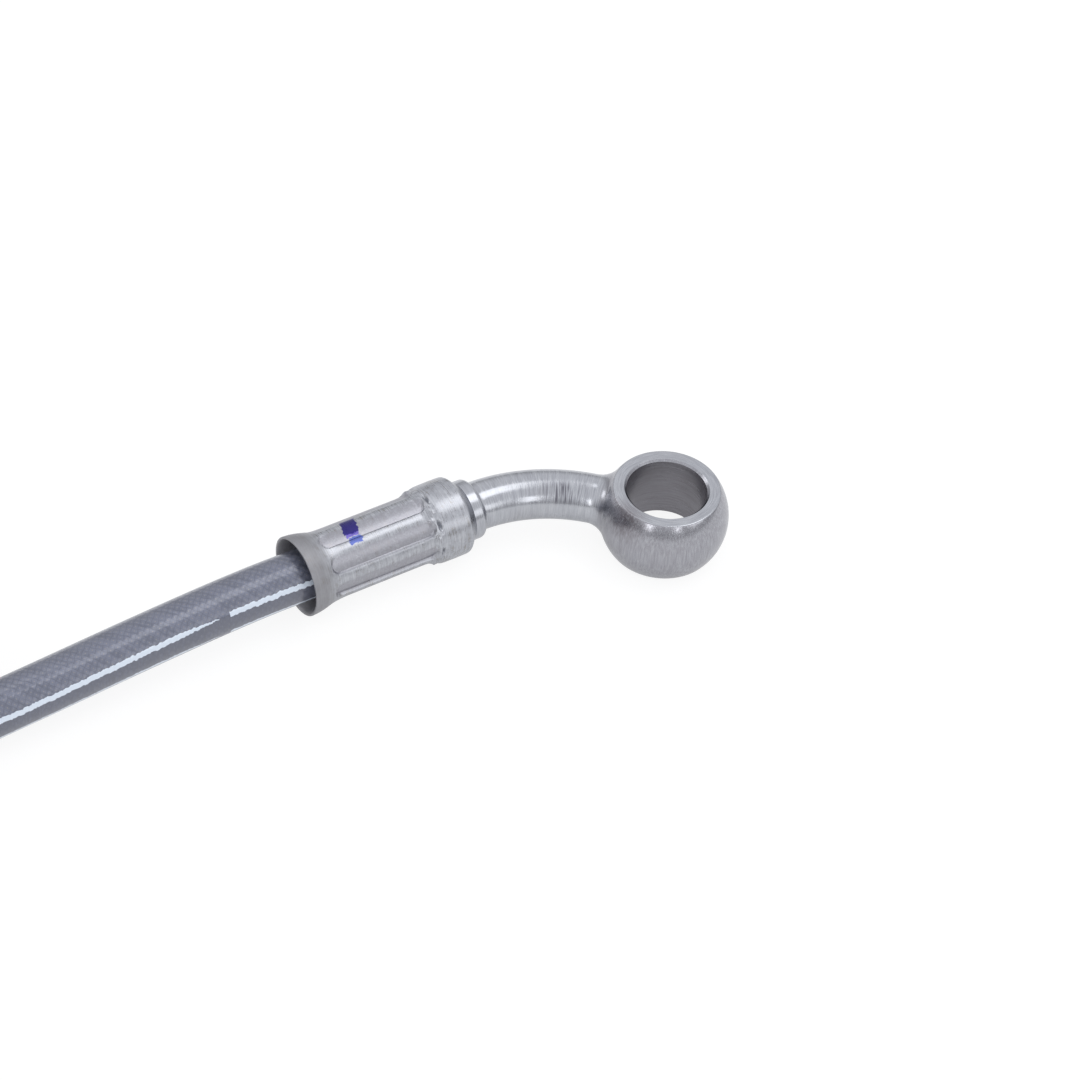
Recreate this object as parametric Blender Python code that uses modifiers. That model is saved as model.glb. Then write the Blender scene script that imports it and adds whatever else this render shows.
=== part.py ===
"""Brake hose: a braided hose with a bent banjo fitting crimped on each end, lying on a bench.

The near ferrule's axis runs along X and its mouth faces -X, where the hose comes out. The neck bends
towards -Y and carries an eye whose bore stands upright. The hose runs to a tied coil that lies flat
beside the near end, and the far fitting, the same as the near one, lies on the bench outside the coil.
The origin is on the bench, under the middle of the near fitting and its ferrule.
"""
import math

import bmesh
import bpy
import numpy as np
from mathutils import Matrix, Vector

MM = 0.001
GAP = 0.3 * MM  # left between two pieces that touch on the real hose

# Banjo eye: a ball with two sealing faces and a bore for an M10 hollow bolt
EYE_BORE = 10.2 * MM
EYE_BALL = 16.4 * MM
EYE_THICKNESS = 9.3 * MM
EYE_CHAMFER = 0.3 * MM

# Neck: a bar bent in the plane of the sealing faces, filleted into the eye
NECK_DIAMETER = 6.3 * MM
NECK_BEND_RADIUS = 20.3 * MM
NECK_BEND_ANGLE = math.radians(46.5)
NECK_STUB = 8.6 * MM  # from the eye's centre to the end of the bend
NECK_LEAD = 1.8 * MM  # from the ferrule's nose to the start of the bend
NECK_FILLET = 3.0 * MM
FILLET_BITE = 0.15 * MM  # how far the fillet's foot is sunk into the ball
NECK_ROOT = 0.9 * MM  # steel left between the bore and the end of the bar
NECK_PASSAGE = 2.5 * MM
PASSAGE_OVERRUN = 1.0 * MM  # past the nipple's tip and into the bore, so that it cuts through

# Collar against the ferrule, and the spigot that the ferrule's lip closes on
COLLAR_DIAMETER = 7.8 * MM
COLLAR_LENGTH = 1.7 * MM
COLLAR_ROUND = 0.8 * MM
COLLAR_CHAMFER = 0.2 * MM
COLLAR_ARCS = 3
SPIGOT_DIAMETER = 4.4 * MM

# Nipple inside the hose
NIPPLE_LENGTH = 17.0 * MM
NIPPLE_BORE = 1.5 * MM
NIPPLE_CHAMFER = 0.3 * MM

# Crimp ferrule: a turned sleeve, squeezed by eight dies
FERRULE_DIAMETER = 10.2 * MM
FERRULE_LENGTH = 23.5 * MM
FLARE_DIAMETER = 10.44 * MM
FLARE_LENGTH = 4.1 * MM
FLARE_LIP = 0.35 * MM
FLARE_CURVE = [(0.72, 0.18), (0.5, 0.6)]  # shares of the way to the crimp and of the rise
MOUTH_CURVE = (0.5, 0.45)  # the same inside, from the mouth to the bore
CRIMP_START = 4.2 * MM  # from the mouth
CRIMP_LENGTH = 13.2 * MM
CRIMP_CORNERS = 9.2 * MM  # across the ridges between the dies
CRIMP_FLATS = 8.56 * MM
CRIMP_DIES = 8
CRIMP_TURN = math.radians(28.4)  # of the ridges, from straight up towards -Y
RAMP_LENGTH = 1.3 * MM
NOSE_LENGTH = 1.1 * MM
NOSE_DIAMETER = 7.9 * MM
NOSE_SHOULDER = (0.38, 0.24)  # shares of the nose's length and of its fall, at the knee between
NOSE_WALL = 2.2 * MM  # of the end that closes on the spigot

# Hose: liner, steel braid and jacket
LINER_BORE = 3.2 * MM
LINER_DIAMETER = 4.3 * MM
BRAID_BORE = 4.7 * MM
BRAID_DIAMETER = 5.4 * MM
HOSE_BORE = 5.8 * MM  # of the jacket
HOSE_DIAMETER = 6.6 * MM

# Coil: one turn on the bench, then a climb over the incoming hose and out beside the first turn
COIL_X = -74.0 * MM  # from the near mouth
COIL_Y = 33.7 * MM
COIL_RADIUS = 36.0 * MM
COIL_FROM = math.radians(22)  # angles run clockwise from the coil's side nearest -Y
COIL_TO = math.radians(250)
FALL_LEAD = 0.6  # the fall onto the bench starts this share of the way before the coil does
WIDEN_FROM = math.radians(280)
WIDEN_TO = math.radians(372)
CLIMB_TO = math.radians(325)
DROP_FROM = math.radians(358)
DROP_TO = math.radians(428)
PART_FROM = math.radians(385)  # where it swings out to make room for the far ferrule's flare
FAR_MOUTH = math.radians(437)

# Tie: a cable tie round the crossing
TIE_X = -56.3 * MM  # from the near mouth
TIE_Y = -2.2 * MM
TIE_TURN = math.radians(17.5)  # halfway between the two runs
TIE_WIDTH = 3.6 * MM
TIE_THICKNESS = 0.8 * MM
TIE_SPREAD = 1.8 * MM  # room across, because the two runs cross at an angle
TIE_CORNER = 2.6 * MM
TIE_HEAD = (5.4 * MM, 3.6 * MM, 4.6 * MM)
TIE_HEAD_ROUND = 0.6 * MM

# Fineness of the solids
EYE_STEPS = 40
BALL_ARCS = 10
FERRULE_STEPS = 32
BAR_SIDES = 16
BEND_STATIONS = 8
FILLET_STATIONS = 5
PASSAGE_SIDES = 10
HOSE_SIDES = 12
COIL_STEPS = 48
HOSE_SPACING = 13.0 * MM
HOSE_STUB = 1.5 * MM  # short last run, so that a tube's end is square to its line
CORNER_ARCS = 4
CURVE_STEPS = 16  # between two points of the hose's route
TAIL_RUNS = 20
OPENING_RUNS = 8

# Places that follow from the sizes above
HOSE_END = FERRULE_LENGTH - NOSE_WALL - GAP
AXIS_HEIGHT = max(FLARE_DIAMETER, EYE_THICKNESS) / 2
BED_HEIGHT = HOSE_DIAMETER / 2
TIE_BED = TIE_THICKNESS + GAP + HOSE_DIAMETER / 2
OVER_HEIGHT = TIE_BED + HOSE_DIAMETER + GAP
OUTER_RADIUS = COIL_RADIUS + HOSE_DIAMETER + GAP
FAR_RADIUS = COIL_RADIUS + HOSE_DIAMETER / 2 + GAP + FLARE_DIAMETER / 2
BEND_START = FERRULE_LENGTH + NECK_LEAD
BEND_LENGTH = NECK_BEND_RADIUS * NECK_BEND_ANGLE
EYE_RUN = BEND_START + BEND_LENGTH + NECK_STUB  # along the centreline, from the mouth


def eye_centre():
    """Centre of the eye, from the mouth's centre, in the plane of the bend."""
    reach = NECK_BEND_RADIUS * math.sin(NECK_BEND_ANGLE) + NECK_STUB * math.cos(NECK_BEND_ANGLE)
    drop = NECK_BEND_RADIUS * (1 - math.cos(NECK_BEND_ANGLE)) + NECK_STUB * math.sin(NECK_BEND_ANGLE)
    return Vector((BEND_START + reach, -drop, 0))


def near_mouth():
    """Centre of the near ferrule's mouth, with the origin under the middle of the near end's box."""
    eye = eye_centre()
    low_y = min(eye.y - EYE_BALL / 2, -FLARE_DIAMETER / 2)
    return Vector((-(eye.x + EYE_BALL / 2) / 2, -(low_y + FLARE_DIAMETER / 2) / 2, AXIS_HEIGHT))


MOUTH = near_mouth()

# The hose's own points between the near ferrule and the coil, chosen by hand: along X and Y from the
# mouth, and how much of the fall from the ferrule's axis to the tie is behind it
NEAR_ROUTE = [
    (-6, 0.0, 0.0),
    (-14, -0.25, 0.08),
    (-24, -0.75, 0.25),
    (-34, -1.3, 0.5),
    (-43, -1.72, 0.77),
    (-50, -2.0, 0.95),
    (-57, -2.2, 1.0),
    (-65, -2.3, 1.0),
]


def smooth_step(start, end, value):
    """0 before the start, 1 after the end, and an even S between them."""
    share = min(max((value - start) / (end - start), 0), 1)
    return share * share * (3 - 2 * share)


def on_coil(angle, radius, height):
    """A point round the coil's centre, at a height over the bench."""
    return Vector((
        MOUTH.x + COIL_X - radius * math.sin(angle),
        MOUTH.y + COIL_Y - radius * math.cos(angle),
        height,
    ))


def near_points():
    """Points of the hose from its end in the near ferrule to the coil."""
    points = [MOUTH + Vector((HOSE_END * share, 0, 0)) for share in (1, 0.5, 0)]
    for along, aside, fallen in NEAR_ROUTE:
        height = AXIS_HEIGHT + (TIE_BED - AXIS_HEIGHT) * fallen
        points.append(Vector((MOUTH.x + along * MM, MOUTH.y + aside * MM, height)))
    for share in (0.0, 0.5, 1.0):
        angle = COIL_FROM * share
        fall = smooth_step(-FALL_LEAD, 1, share)
        points.append(on_coil(angle, COIL_RADIUS, TIE_BED + (BED_HEIGHT - TIE_BED) * fall))
    return points


def tail_point(angle):
    """The hose past its first turn: it widens, climbs over the incoming hose and comes down again."""
    radius = COIL_RADIUS + (OUTER_RADIUS - COIL_RADIUS) * smooth_step(WIDEN_FROM, WIDEN_TO, angle)
    radius += (FAR_RADIUS - OUTER_RADIUS) * smooth_step(PART_FROM, FAR_MOUTH, angle)
    up = (OVER_HEIGHT - BED_HEIGHT) * smooth_step(COIL_TO, CLIMB_TO, angle)
    down = (OVER_HEIGHT - AXIS_HEIGHT) * smooth_step(DROP_FROM, DROP_TO, angle)
    return on_coil(angle, radius, BED_HEIGHT + up - down)


def far_heading():
    """Direction in which the hose runs into the far ferrule."""
    return Vector((-math.cos(FAR_MOUTH), math.sin(FAR_MOUTH), 0))


def tail_points():
    """Points of the hose from the coil to its end in the far ferrule."""
    step = (FAR_MOUTH - COIL_TO) / TAIL_RUNS
    points = [tail_point(COIL_TO + step * index) for index in range(TAIL_RUNS + 1)]
    mouth = points[-1]
    return points + [mouth + far_heading() * HOSE_END * share for share in (0.5, 1)]


def smooth_line(points, spacing):
    """Points one spacing apart on a smooth curve through the given ones, with a short run at each end."""
    ends = [points[0] * 2 - points[1], *points, points[-1] * 2 - points[-2]]
    dense = []
    for before, start, end, after in zip(ends, ends[1:], ends[2:], ends[3:]):
        for index in range(CURVE_STEPS):
            t = index / CURVE_STEPS
            square = (before * 2 - start * 5 + end * 4 - after) * t * t
            cube = (start * 3 - before - end * 3 + after) * t * t * t
            dense.append((start * 2 + (end - before) * t + square + cube) / 2)
    dense.append(points[-1])
    line = np.array(dense)
    lengths = np.concatenate([[0], np.cumsum(np.linalg.norm(np.diff(line, axis=0), axis=1))])
    total = lengths[-1]
    runs = round((total - 2 * HOSE_STUB) / spacing)
    places = [0, *np.linspace(HOSE_STUB, total - HOSE_STUB, runs + 1), total]
    return [Vector([np.interp(place, lengths, line[:, axis]) for axis in range(3)]) for place in places]


def shortened(points, trim_start, trim_end):
    """The same line with its first or last point drawn back by a gap."""
    points = list(points)
    if trim_start:
        points[0] = points[0] + (points[1] - points[0]).normalized() * trim_start
    if trim_end:
        points[-1] = points[-1] + (points[-2] - points[-1]).normalized() * trim_end
    return points


# Blender helpers


def clear_scene():
    for thing in list(bpy.data.objects):
        bpy.data.objects.remove(thing, do_unlink=True)


def new_collection(name):
    collection = bpy.data.collections.new(name)
    bpy.context.scene.collection.children.link(collection)
    return collection


def into(thing, collection):
    """Keep the object in this collection alone."""
    for holder in list(thing.users_collection):
        holder.objects.unlink(thing)
    collection.objects.link(thing)
    return thing


def material(name, colour, roughness, metallic):
    finish = bpy.data.materials.new(name)
    finish.use_nodes = True
    shader = finish.node_tree.nodes["Principled BSDF"]
    shader.inputs["Base Color"].default_value = (*colour, 1)
    shader.inputs["Roughness"].default_value = roughness
    shader.inputs["Metallic"].default_value = metallic
    return finish


def weld(mesh):
    """Join a converted curve's loose caps to its sides."""
    shape = bmesh.new()
    shape.from_mesh(mesh)
    bmesh.ops.remove_doubles(shape, verts=shape.verts, dist=0.001 * MM)
    bmesh.ops.recalc_face_normals(shape, faces=shape.faces)
    shape.to_mesh(mesh)
    shape.free()


def meshed(curve_object, collection):
    """A mesh object in place of a curve object."""
    bpy.context.view_layer.update()
    evaluated = curve_object.evaluated_get(bpy.context.evaluated_depsgraph_get())
    mesh = bpy.data.meshes.new_from_object(evaluated)
    weld(mesh)
    name = curve_object.name
    result = bpy.data.objects.new(name + "_mesh", mesh)
    collection.objects.link(result)
    result.matrix_world = curve_object.matrix_world.copy()
    result.parent = curve_object.parent
    bpy.data.objects.remove(curve_object, do_unlink=True)
    result.name = name
    return result


def bar(name, points, radii, sides, collection, caps=True):
    """A round bar or tube along the points, with a radius at each."""
    data = bpy.data.curves.new(name, "CURVE")
    data.dimensions = "3D"
    data.bevel_depth = 1.0
    data.bevel_resolution = sides // 2 - 2
    data.use_fill_caps = caps
    line = data.splines.new("POLY")
    line.points.add(len(points) - 1)
    for spot, point, radius in zip(line.points, points, radii):
        spot.co = (*point, 1)
        spot.radius = radius
    result = bpy.data.objects.new(name, data)
    collection.objects.link(result)
    return result


def flat_prism(name, outlines, depth, collection):
    """A flat outline with any holes, given thickness on both sides of its plane."""
    data = bpy.data.curves.new(name, "CURVE")
    data.dimensions = "2D"
    data.fill_mode = "BOTH"
    data.extrude = depth / 2
    for outline in outlines:
        line = data.splines.new("POLY")
        line.points.add(len(outline) - 1)
        for spot, (x, y) in zip(line.points, outline):
            spot.co = (x, y, 0, 1)
        line.use_cyclic_u = True
    result = bpy.data.objects.new(name, data)
    collection.objects.link(result)
    return meshed(result, collection)


def turned(name, profile, steps, collection):
    """A closed profile of radius and height, turned about Z. It runs down its outer side."""
    mesh = bpy.data.meshes.new(name)
    count = len(profile)
    edges = [(index, (index + 1) % count) for index in range(count)]
    mesh.from_pydata([(radius, 0, height) for radius, height in profile], edges, [])
    result = bpy.data.objects.new(name, mesh)
    collection.objects.link(result)
    screw = result.modifiers.new("Turn", "SCREW")
    screw.axis = "Z"
    screw.steps = steps
    screw.render_steps = steps
    screw.use_smooth_shade = False
    screw.merge_threshold = 0.01 * MM
    return result


def combine(body, other, operation, cutters):
    """Join another shape to a body, or cut it out, and put that shape among the cutters."""
    into(other, cutters)
    other.hide_render = True
    other.display_type = "WIRE"
    boolean = body.modifiers.new(operation.title(), "BOOLEAN")
    boolean.operation = operation
    boolean.solver = "EXACT"
    boolean.object = other


def dress(thing, name, finish):
    thing.name = name
    thing.data.name = name
    thing.data.materials.clear()
    thing.data.materials.append(finish)


def smooth_shaded(thing, angle=30):
    """Smooth shading with sharp edges kept, on what is already a mesh."""
    if thing.type == "MESH":
        thing.data.shade_smooth()
        thing.data.set_sharp_from_angle(angle=math.radians(angle))


# Banjo fitting


def along_fitting(run):
    """A point of the fitting's centreline, by its run from the mouth's centre."""
    if run <= BEND_START:
        return Vector((run, 0, 0))
    turn = min((run - BEND_START) / NECK_BEND_RADIUS, NECK_BEND_ANGLE)
    point = Vector((
        BEND_START + NECK_BEND_RADIUS * math.sin(turn),
        -NECK_BEND_RADIUS * (1 - math.cos(turn)),
        0,
    ))
    rest = max(run - BEND_START - BEND_LENGTH, 0)
    return point + Vector((math.cos(turn), -math.sin(turn), 0)) * rest


def fillet_stations():
    """Run and radius of the fillet between the neck and the ball, ending inside the ball."""
    ball = EYE_BALL / 2 - FILLET_BITE
    neck = NECK_DIAMETER / 2
    start = math.sqrt((ball + NECK_FILLET) ** 2 - (neck + NECK_FILLET) ** 2)
    end = start * ball / (ball + NECK_FILLET)
    stations = []
    for index in range(FILLET_STATIONS + 1):
        from_eye = start + (end - start) * (index / FILLET_STATIONS)
        radius = neck + NECK_FILLET - math.sqrt(NECK_FILLET**2 - (start - from_eye) ** 2)
        stations.append((EYE_RUN - from_eye, radius))
    stations.append((EYE_RUN - EYE_BORE / 2 - NECK_ROOT, stations[-1][1]))
    return stations


def fitting_stations():
    """Run and radius of the whole bar, from the nipple's tip to its root in the eye."""
    nipple = LINER_BORE / 2 - GAP
    tip = HOSE_END - NIPPLE_LENGTH
    shoulder = HOSE_END + GAP
    collar = FERRULE_LENGTH + GAP
    collar_end = collar + COLLAR_LENGTH
    neck = NECK_DIAMETER / 2
    stations = [
        (tip, nipple - NIPPLE_CHAMFER / 2),
        (tip + NIPPLE_CHAMFER, nipple),
        (shoulder, nipple),
        (shoulder + GAP / 2, SPIGOT_DIAMETER / 2),
        (collar - COLLAR_CHAMFER / 2, SPIGOT_DIAMETER / 2),
        (collar, COLLAR_DIAMETER / 2 - COLLAR_CHAMFER),
        (collar + COLLAR_CHAMFER, COLLAR_DIAMETER / 2),
    ]
    for index in range(COLLAR_ARCS + 1):
        turn = math.pi / 2 * index / COLLAR_ARCS
        fall = COLLAR_DIAMETER / 2 - neck
        stations.append((
            collar_end - COLLAR_ROUND * (1 - math.sin(turn)),
            neck + fall * math.cos(turn),
        ))
    fillet = fillet_stations()
    step = (fillet[0][0] - collar_end) / (BEND_STATIONS + 1)
    stations += [(collar_end + step * (index + 1), neck) for index in range(BEND_STATIONS)]
    return stations + fillet


def passage_stations():
    """Run and radius of the drilling, from before the nipple's tip to the middle of the bore."""
    start = HOSE_END - NIPPLE_LENGTH - PASSAGE_OVERRUN
    widen = HOSE_END + GAP
    end = EYE_RUN - EYE_BORE / 2 + PASSAGE_OVERRUN
    stations = [(start, NIPPLE_BORE / 2), (widen, NIPPLE_BORE / 2), (widen + GAP, NECK_PASSAGE / 2)]
    step = (end - BEND_START) / BEND_STATIONS
    runs = [BEND_START + step * index for index in range(BEND_STATIONS + 1)]
    return stations + [(run, NECK_PASSAGE / 2) for run in runs]


def eye_profile():
    """The eye's section: the ball's side, two sealing faces and a chamfered bore."""
    half = EYE_THICKNESS / 2
    bore = EYE_BORE / 2
    top = math.asin(half / (EYE_BALL / 2))
    profile = []
    for index in range(BALL_ARCS + 1):
        angle = top - 2 * top * index / BALL_ARCS
        profile.append((EYE_BALL / 2 * math.cos(angle), EYE_BALL / 2 * math.sin(angle)))
    return profile + [
        (bore + EYE_CHAMFER, -half),
        (bore, -half + EYE_CHAMFER),
        (bore, half - EYE_CHAMFER),
        (bore + EYE_CHAMFER, half),
    ]


def bar_along(name, stations, sides, collection):
    runs, radii = zip(*stations)
    line = bar(name, [along_fitting(run) for run in runs], radii, sides, collection)
    return meshed(line, collection)


def build_fitting(name, collection, cutters, finish):
    """Eye, bent neck, collar and nipple in one piece of steel, drilled through."""
    body = bar_along(name, fitting_stations(), BAR_SIDES, collection)
    eye = turned(name + "_eye", eye_profile(), EYE_STEPS, collection)
    eye.location = eye_centre()
    combine(body, eye, "UNION", cutters)
    passage = bar_along(name + "_passage", passage_stations(), PASSAGE_SIDES, collection)
    combine(body, passage, "DIFFERENCE", cutters)
    dress(body, name, finish)
    return [body, eye, passage]


# Crimp ferrule


def ferrule_profile():
    """The sleeve's section as turned: nose, plain end, ramp, crimped length and flared mouth."""
    bore = HOSE_DIAMETER / 2 + GAP
    crimp_end = CRIMP_START + CRIMP_LENGTH
    corners = CRIMP_CORNERS / 2
    flare = FLARE_DIAMETER / 2
    lip = flare - FLARE_LIP
    plain = FERRULE_DIAMETER / 2
    nose = NOSE_DIAMETER / 2
    nose_start = FERRULE_LENGTH - NOSE_LENGTH
    knee_along, knee_fall = NOSE_SHOULDER
    rise = [(corners + (flare - corners) * up, CRIMP_START * along) for along, up in FLARE_CURVE]
    inside_along, inside_rise = MOUTH_CURVE
    return [
        (nose, FERRULE_LENGTH),
        (plain - (plain - nose) * knee_fall, nose_start + NOSE_LENGTH * knee_along),
        (plain, nose_start),
        (plain, crimp_end + RAMP_LENGTH),
        (corners, crimp_end),
        (corners, CRIMP_START),
        *rise,
        (flare, 0),
        (lip, 0),
        (bore + (lip - bore) * inside_rise, FLARE_LENGTH * inside_along),
        (bore, FLARE_LENGTH),
        (bore, FERRULE_LENGTH - NOSE_WALL),
        (SPIGOT_DIAMETER / 2 + GAP, FERRULE_LENGTH - NOSE_WALL),
        (SPIGOT_DIAMETER / 2 + GAP, FERRULE_LENGTH),
    ]


def die_profile():
    """The section of the ring of dies, whose inner sides are the flats."""
    inner = CRIMP_FLATS / 2 / math.cos(math.pi / CRIMP_DIES)
    outer = FLARE_DIAMETER
    top = CRIMP_START + CRIMP_LENGTH
    return [(outer, top), (outer, CRIMP_START), (inner, CRIMP_START), (inner, top)]


def build_ferrule(name, collection, cutters, finish):
    """The crimped sleeve. It is turned about Z and then laid along X."""
    body = turned(name, ferrule_profile(), FERRULE_STEPS, collection)
    dies = turned(name + "_dies", die_profile(), CRIMP_DIES, collection)
    dies.data.transform(Matrix.Rotation(CRIMP_TURN, 4, "Z"))
    for piece in (body, dies):
        piece.rotation_euler = (0, math.pi / 2, 0)
    combine(body, dies, "DIFFERENCE", cutters)
    dress(body, name, finish)
    return [body, dies]


# Hose


def build_layer(name, line, bore, diameter, collection, finish):
    """One layer of the hose: an open tube given its wall inwards."""
    radius = diameter / 2
    layer = bar(name, line, [radius] * len(line), HOSE_SIDES, collection, caps=False)
    wall = layer.modifiers.new("Wall", "SOLIDIFY")
    wall.thickness = (diameter - bore) / 2
    wall.offset = -1
    wall.use_even_offset = True
    dress(layer, name, finish)
    return layer


def build_run(prefix, line, collection, finishes):
    """The three layers of the hose along one line."""
    build_layer(prefix + "_liner", line, LINER_BORE, LINER_DIAMETER, collection, finishes["liner"])
    build_layer(prefix + "_braid", line, BRAID_BORE, BRAID_DIAMETER, collection, finishes["braid"])
    build_layer(prefix + "_cover", line, HOSE_BORE, HOSE_DIAMETER, collection, finishes["cover"])


def build_coil(collection, cutters, finish):
    """The hose's first turn on the bench, as a ring with the part cut out where the hose comes and goes."""
    centre = on_coil(0, 0, BED_HEIGHT)
    bpy.ops.mesh.primitive_torus_add(
        major_radius=COIL_RADIUS,
        minor_radius=HOSE_DIAMETER / 2,
        major_segments=COIL_STEPS,
        minor_segments=HOSE_SIDES,
        location=centre,
    )
    ring = into(bpy.context.object, collection)
    reach = COIL_RADIUS * 2
    open_to = COIL_FROM + math.tau
    outline = [(0, 0)]
    for index in range(OPENING_RUNS + 1):
        angle = COIL_TO + (open_to - COIL_TO) * index / OPENING_RUNS
        outline.append((-reach * math.sin(angle), -reach * math.cos(angle)))
    wedge = flat_prism("coil_opening", [outline], HOSE_DIAMETER * 2, collection)
    wedge.location = centre
    combine(ring, wedge, "DIFFERENCE", cutters)
    dress(ring, "hose_coil", finish)
    return ring


def rounded_outline(low, high, corner):
    """A rectangle between two corners with rounded corners, as points in order."""
    points = []
    centres = [
        (high[0] - corner, high[1] - corner),
        (low[0] + corner, high[1] - corner),
        (low[0] + corner, low[1] + corner),
        (high[0] - corner, low[1] + corner),
    ]
    for quarter, (x, y) in enumerate(centres):
        for index in range(CORNER_ARCS + 1):
            angle = math.pi / 2 * (quarter + index / CORNER_ARCS)
            points.append((x + corner * math.cos(angle), y + corner * math.sin(angle)))
    return points


def build_tie(collection, cutters, finish):
    """A cable tie round the two runs where they cross, its head on top."""
    half = HOSE_DIAMETER / 2 + GAP + TIE_SPREAD / 2
    top = OVER_HEIGHT + HOSE_DIAMETER / 2 + GAP
    inner = rounded_outline((-half, TIE_THICKNESS), (half, top), TIE_CORNER)
    outer = rounded_outline(
        (-half - TIE_THICKNESS, 0),
        (half + TIE_THICKNESS, top + TIE_THICKNESS),
        TIE_CORNER + TIE_THICKNESS,
    )
    band = flat_prism("coil_tie", [outer, inner], TIE_WIDTH, collection)
    place = (MOUTH.x + TIE_X, MOUTH.y + TIE_Y, 0)
    band.rotation_euler = (math.pi / 2, 0, math.pi / 2 + TIE_TURN)
    band.location = place
    bpy.ops.mesh.primitive_cube_add(size=1)
    head = into(bpy.context.object, collection)
    head.data.transform(Matrix.Diagonal((*TIE_HEAD, 1)))
    head.name = "coil_tie_head"
    bevel = head.modifiers.new("Round", "BEVEL")
    bevel.width = TIE_HEAD_ROUND
    bevel.segments = 2
    head.rotation_euler = (0, 0, TIE_TURN)
    head.location = (place[0], place[1], top + TIE_HEAD[2] / 2 + TIE_THICKNESS / 2)
    combine(band, head, "UNION", cutters)
    dress(band, "coil_tie", finish)
    return band


def main():
    clear_scene()
    parts = new_collection("brake_hose")
    cutters = new_collection("brake_hose_cutters")
    fitting_steel = material("fitting_steel", (0.42, 0.41, 0.40), 0.32, 1.0)
    ferrule_steel = material("ferrule_steel", (0.36, 0.33, 0.30), 0.4, 1.0)
    finishes = {
        "liner": material("liner_ptfe", (0.85, 0.85, 0.82), 0.4, 0.0),
        "braid": material("braid_steel", (0.33, 0.33, 0.36), 0.35, 1.0),
        "cover": material("smoked_jacket", (0.08, 0.09, 0.14), 0.25, 0.0),
    }
    tie_nylon = material("tie_nylon", (0.02, 0.02, 0.02), 0.5, 0.0)
    far = tail_point(FAR_MOUTH)
    heading = far_heading()
    ends = [("", MOUTH, 0.0), ("far_", far, math.atan2(heading.y, heading.x))]
    for prefix, place, turn in ends:
        guide = bpy.data.objects.new(prefix + "end", None)
        parts.objects.link(guide)
        guide.location = place
        guide.rotation_euler = (0, 0, turn)
        made = build_fitting(prefix + "banjo_fitting", parts, cutters, fitting_steel)
        made += build_ferrule(prefix + "crimp_ferrule", parts, cutters, ferrule_steel)
        for thing in made:
            thing.parent = guide
    near_line = shortened(smooth_line(near_points(), HOSE_SPACING), 0, GAP)
    tail_line = shortened(smooth_line(tail_points(), HOSE_SPACING), GAP, 0)
    build_run("hose", near_line, parts, finishes)
    build_run("tail", tail_line, parts, finishes)
    build_coil(parts, cutters, finishes["cover"])
    build_tie(parts, cutters, tie_nylon)
    for thing in parts.objects:
        smooth_shaded(thing)


main()
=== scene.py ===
"""Looks of the brake hose: a braided hose in a smoked jacket, with a bent banjo fitting crimped on each end.

Pieces are modelled in millimetres round a plain origin, then scaled to metres and moved to their place in
the mesh itself. An end's own frame has its mouth at the origin, its axis along +X and its bend towards -Y.
"""
import logging
import math
from dataclasses import dataclass, field
from enum import Enum
from itertools import pairwise
from typing import Callable, Iterable, Sequence

import bmesh
import bpy
from mathutils import Matrix, Vector


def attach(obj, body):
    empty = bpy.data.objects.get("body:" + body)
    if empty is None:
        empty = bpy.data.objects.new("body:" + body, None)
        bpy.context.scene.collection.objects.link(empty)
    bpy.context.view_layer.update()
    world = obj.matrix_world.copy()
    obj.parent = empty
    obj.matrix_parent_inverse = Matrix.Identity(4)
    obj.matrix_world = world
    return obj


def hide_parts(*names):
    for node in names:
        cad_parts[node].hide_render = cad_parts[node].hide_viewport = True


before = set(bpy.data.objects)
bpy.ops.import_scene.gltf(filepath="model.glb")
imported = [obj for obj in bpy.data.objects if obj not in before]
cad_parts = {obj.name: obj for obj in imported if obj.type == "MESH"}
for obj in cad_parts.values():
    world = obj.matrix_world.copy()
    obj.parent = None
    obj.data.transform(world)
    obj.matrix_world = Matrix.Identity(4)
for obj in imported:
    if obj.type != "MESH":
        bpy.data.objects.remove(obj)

log = logging.getLogger("brake_hose")

MM = 0.001
ROOT = "root"  # the one body of a part without joints
SQUEEZE = 0.06  # of a length along the tool marks, so that their pattern is drawn out into lines
SNUG = 0.001  # mm between points that are one


class Slot(Enum):
    """The record's material slots."""

    FITTING = "fitting_steel"
    FERRULE = "ferrule_steel"
    JACKET = "smoked_jacket"
    TIE = "tie_nylon"


@dataclass(frozen=True)
class Place:
    """Where an end's mouth lies, in metres, and how far the end is turned about Z."""

    mouth: Vector
    turn: float

    def matrix(self) -> Matrix:
        """From the end's own millimetres to the row frame."""
        return Matrix.Translation(self.mouth) @ Matrix.Rotation(self.turn, 4, "Z") @ Matrix.Scale(MM, 4)


@dataclass(frozen=True)
class Station:
    """One ring of a round bar: its centre, its radius and how far it has turned about Z."""

    centre: Vector
    radius: float
    turn: float = 0.0


def linear(hex_colour: str) -> tuple[float, float, float, float]:
    """Turn an sRGB colour, six hex digits after a hash, into Blender's linear one with an alpha of 1."""
    parts = [int(hex_colour[start:start + 2], 16) / 255 for start in (1, 3, 5)]
    levels = [part / 12.92 if part <= 0.04045 else ((part + 0.055) / 1.055) ** 2.4 for part in parts]
    return (*levels, 1.0)


def smooth_step(start: float, end: float, value: float) -> float:
    """0 before the start, 1 after the end, and an even S between them."""
    share = min(max((value - start) / (end - start), 0.0), 1.0)
    return share * share * (3 - 2 * share)


def bell(distance: float, width: float) -> float:
    """1 at no distance, falling evenly to nothing over a few widths."""
    return math.exp(-(distance / width) ** 2)


# Modelling by hand


def only(piece: bpy.types.Object) -> None:
    """Select this piece alone and make it the active one."""
    bpy.ops.object.select_all(action="DESELECT")
    piece.select_set(True)
    bpy.context.view_layer.objects.active = piece


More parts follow.
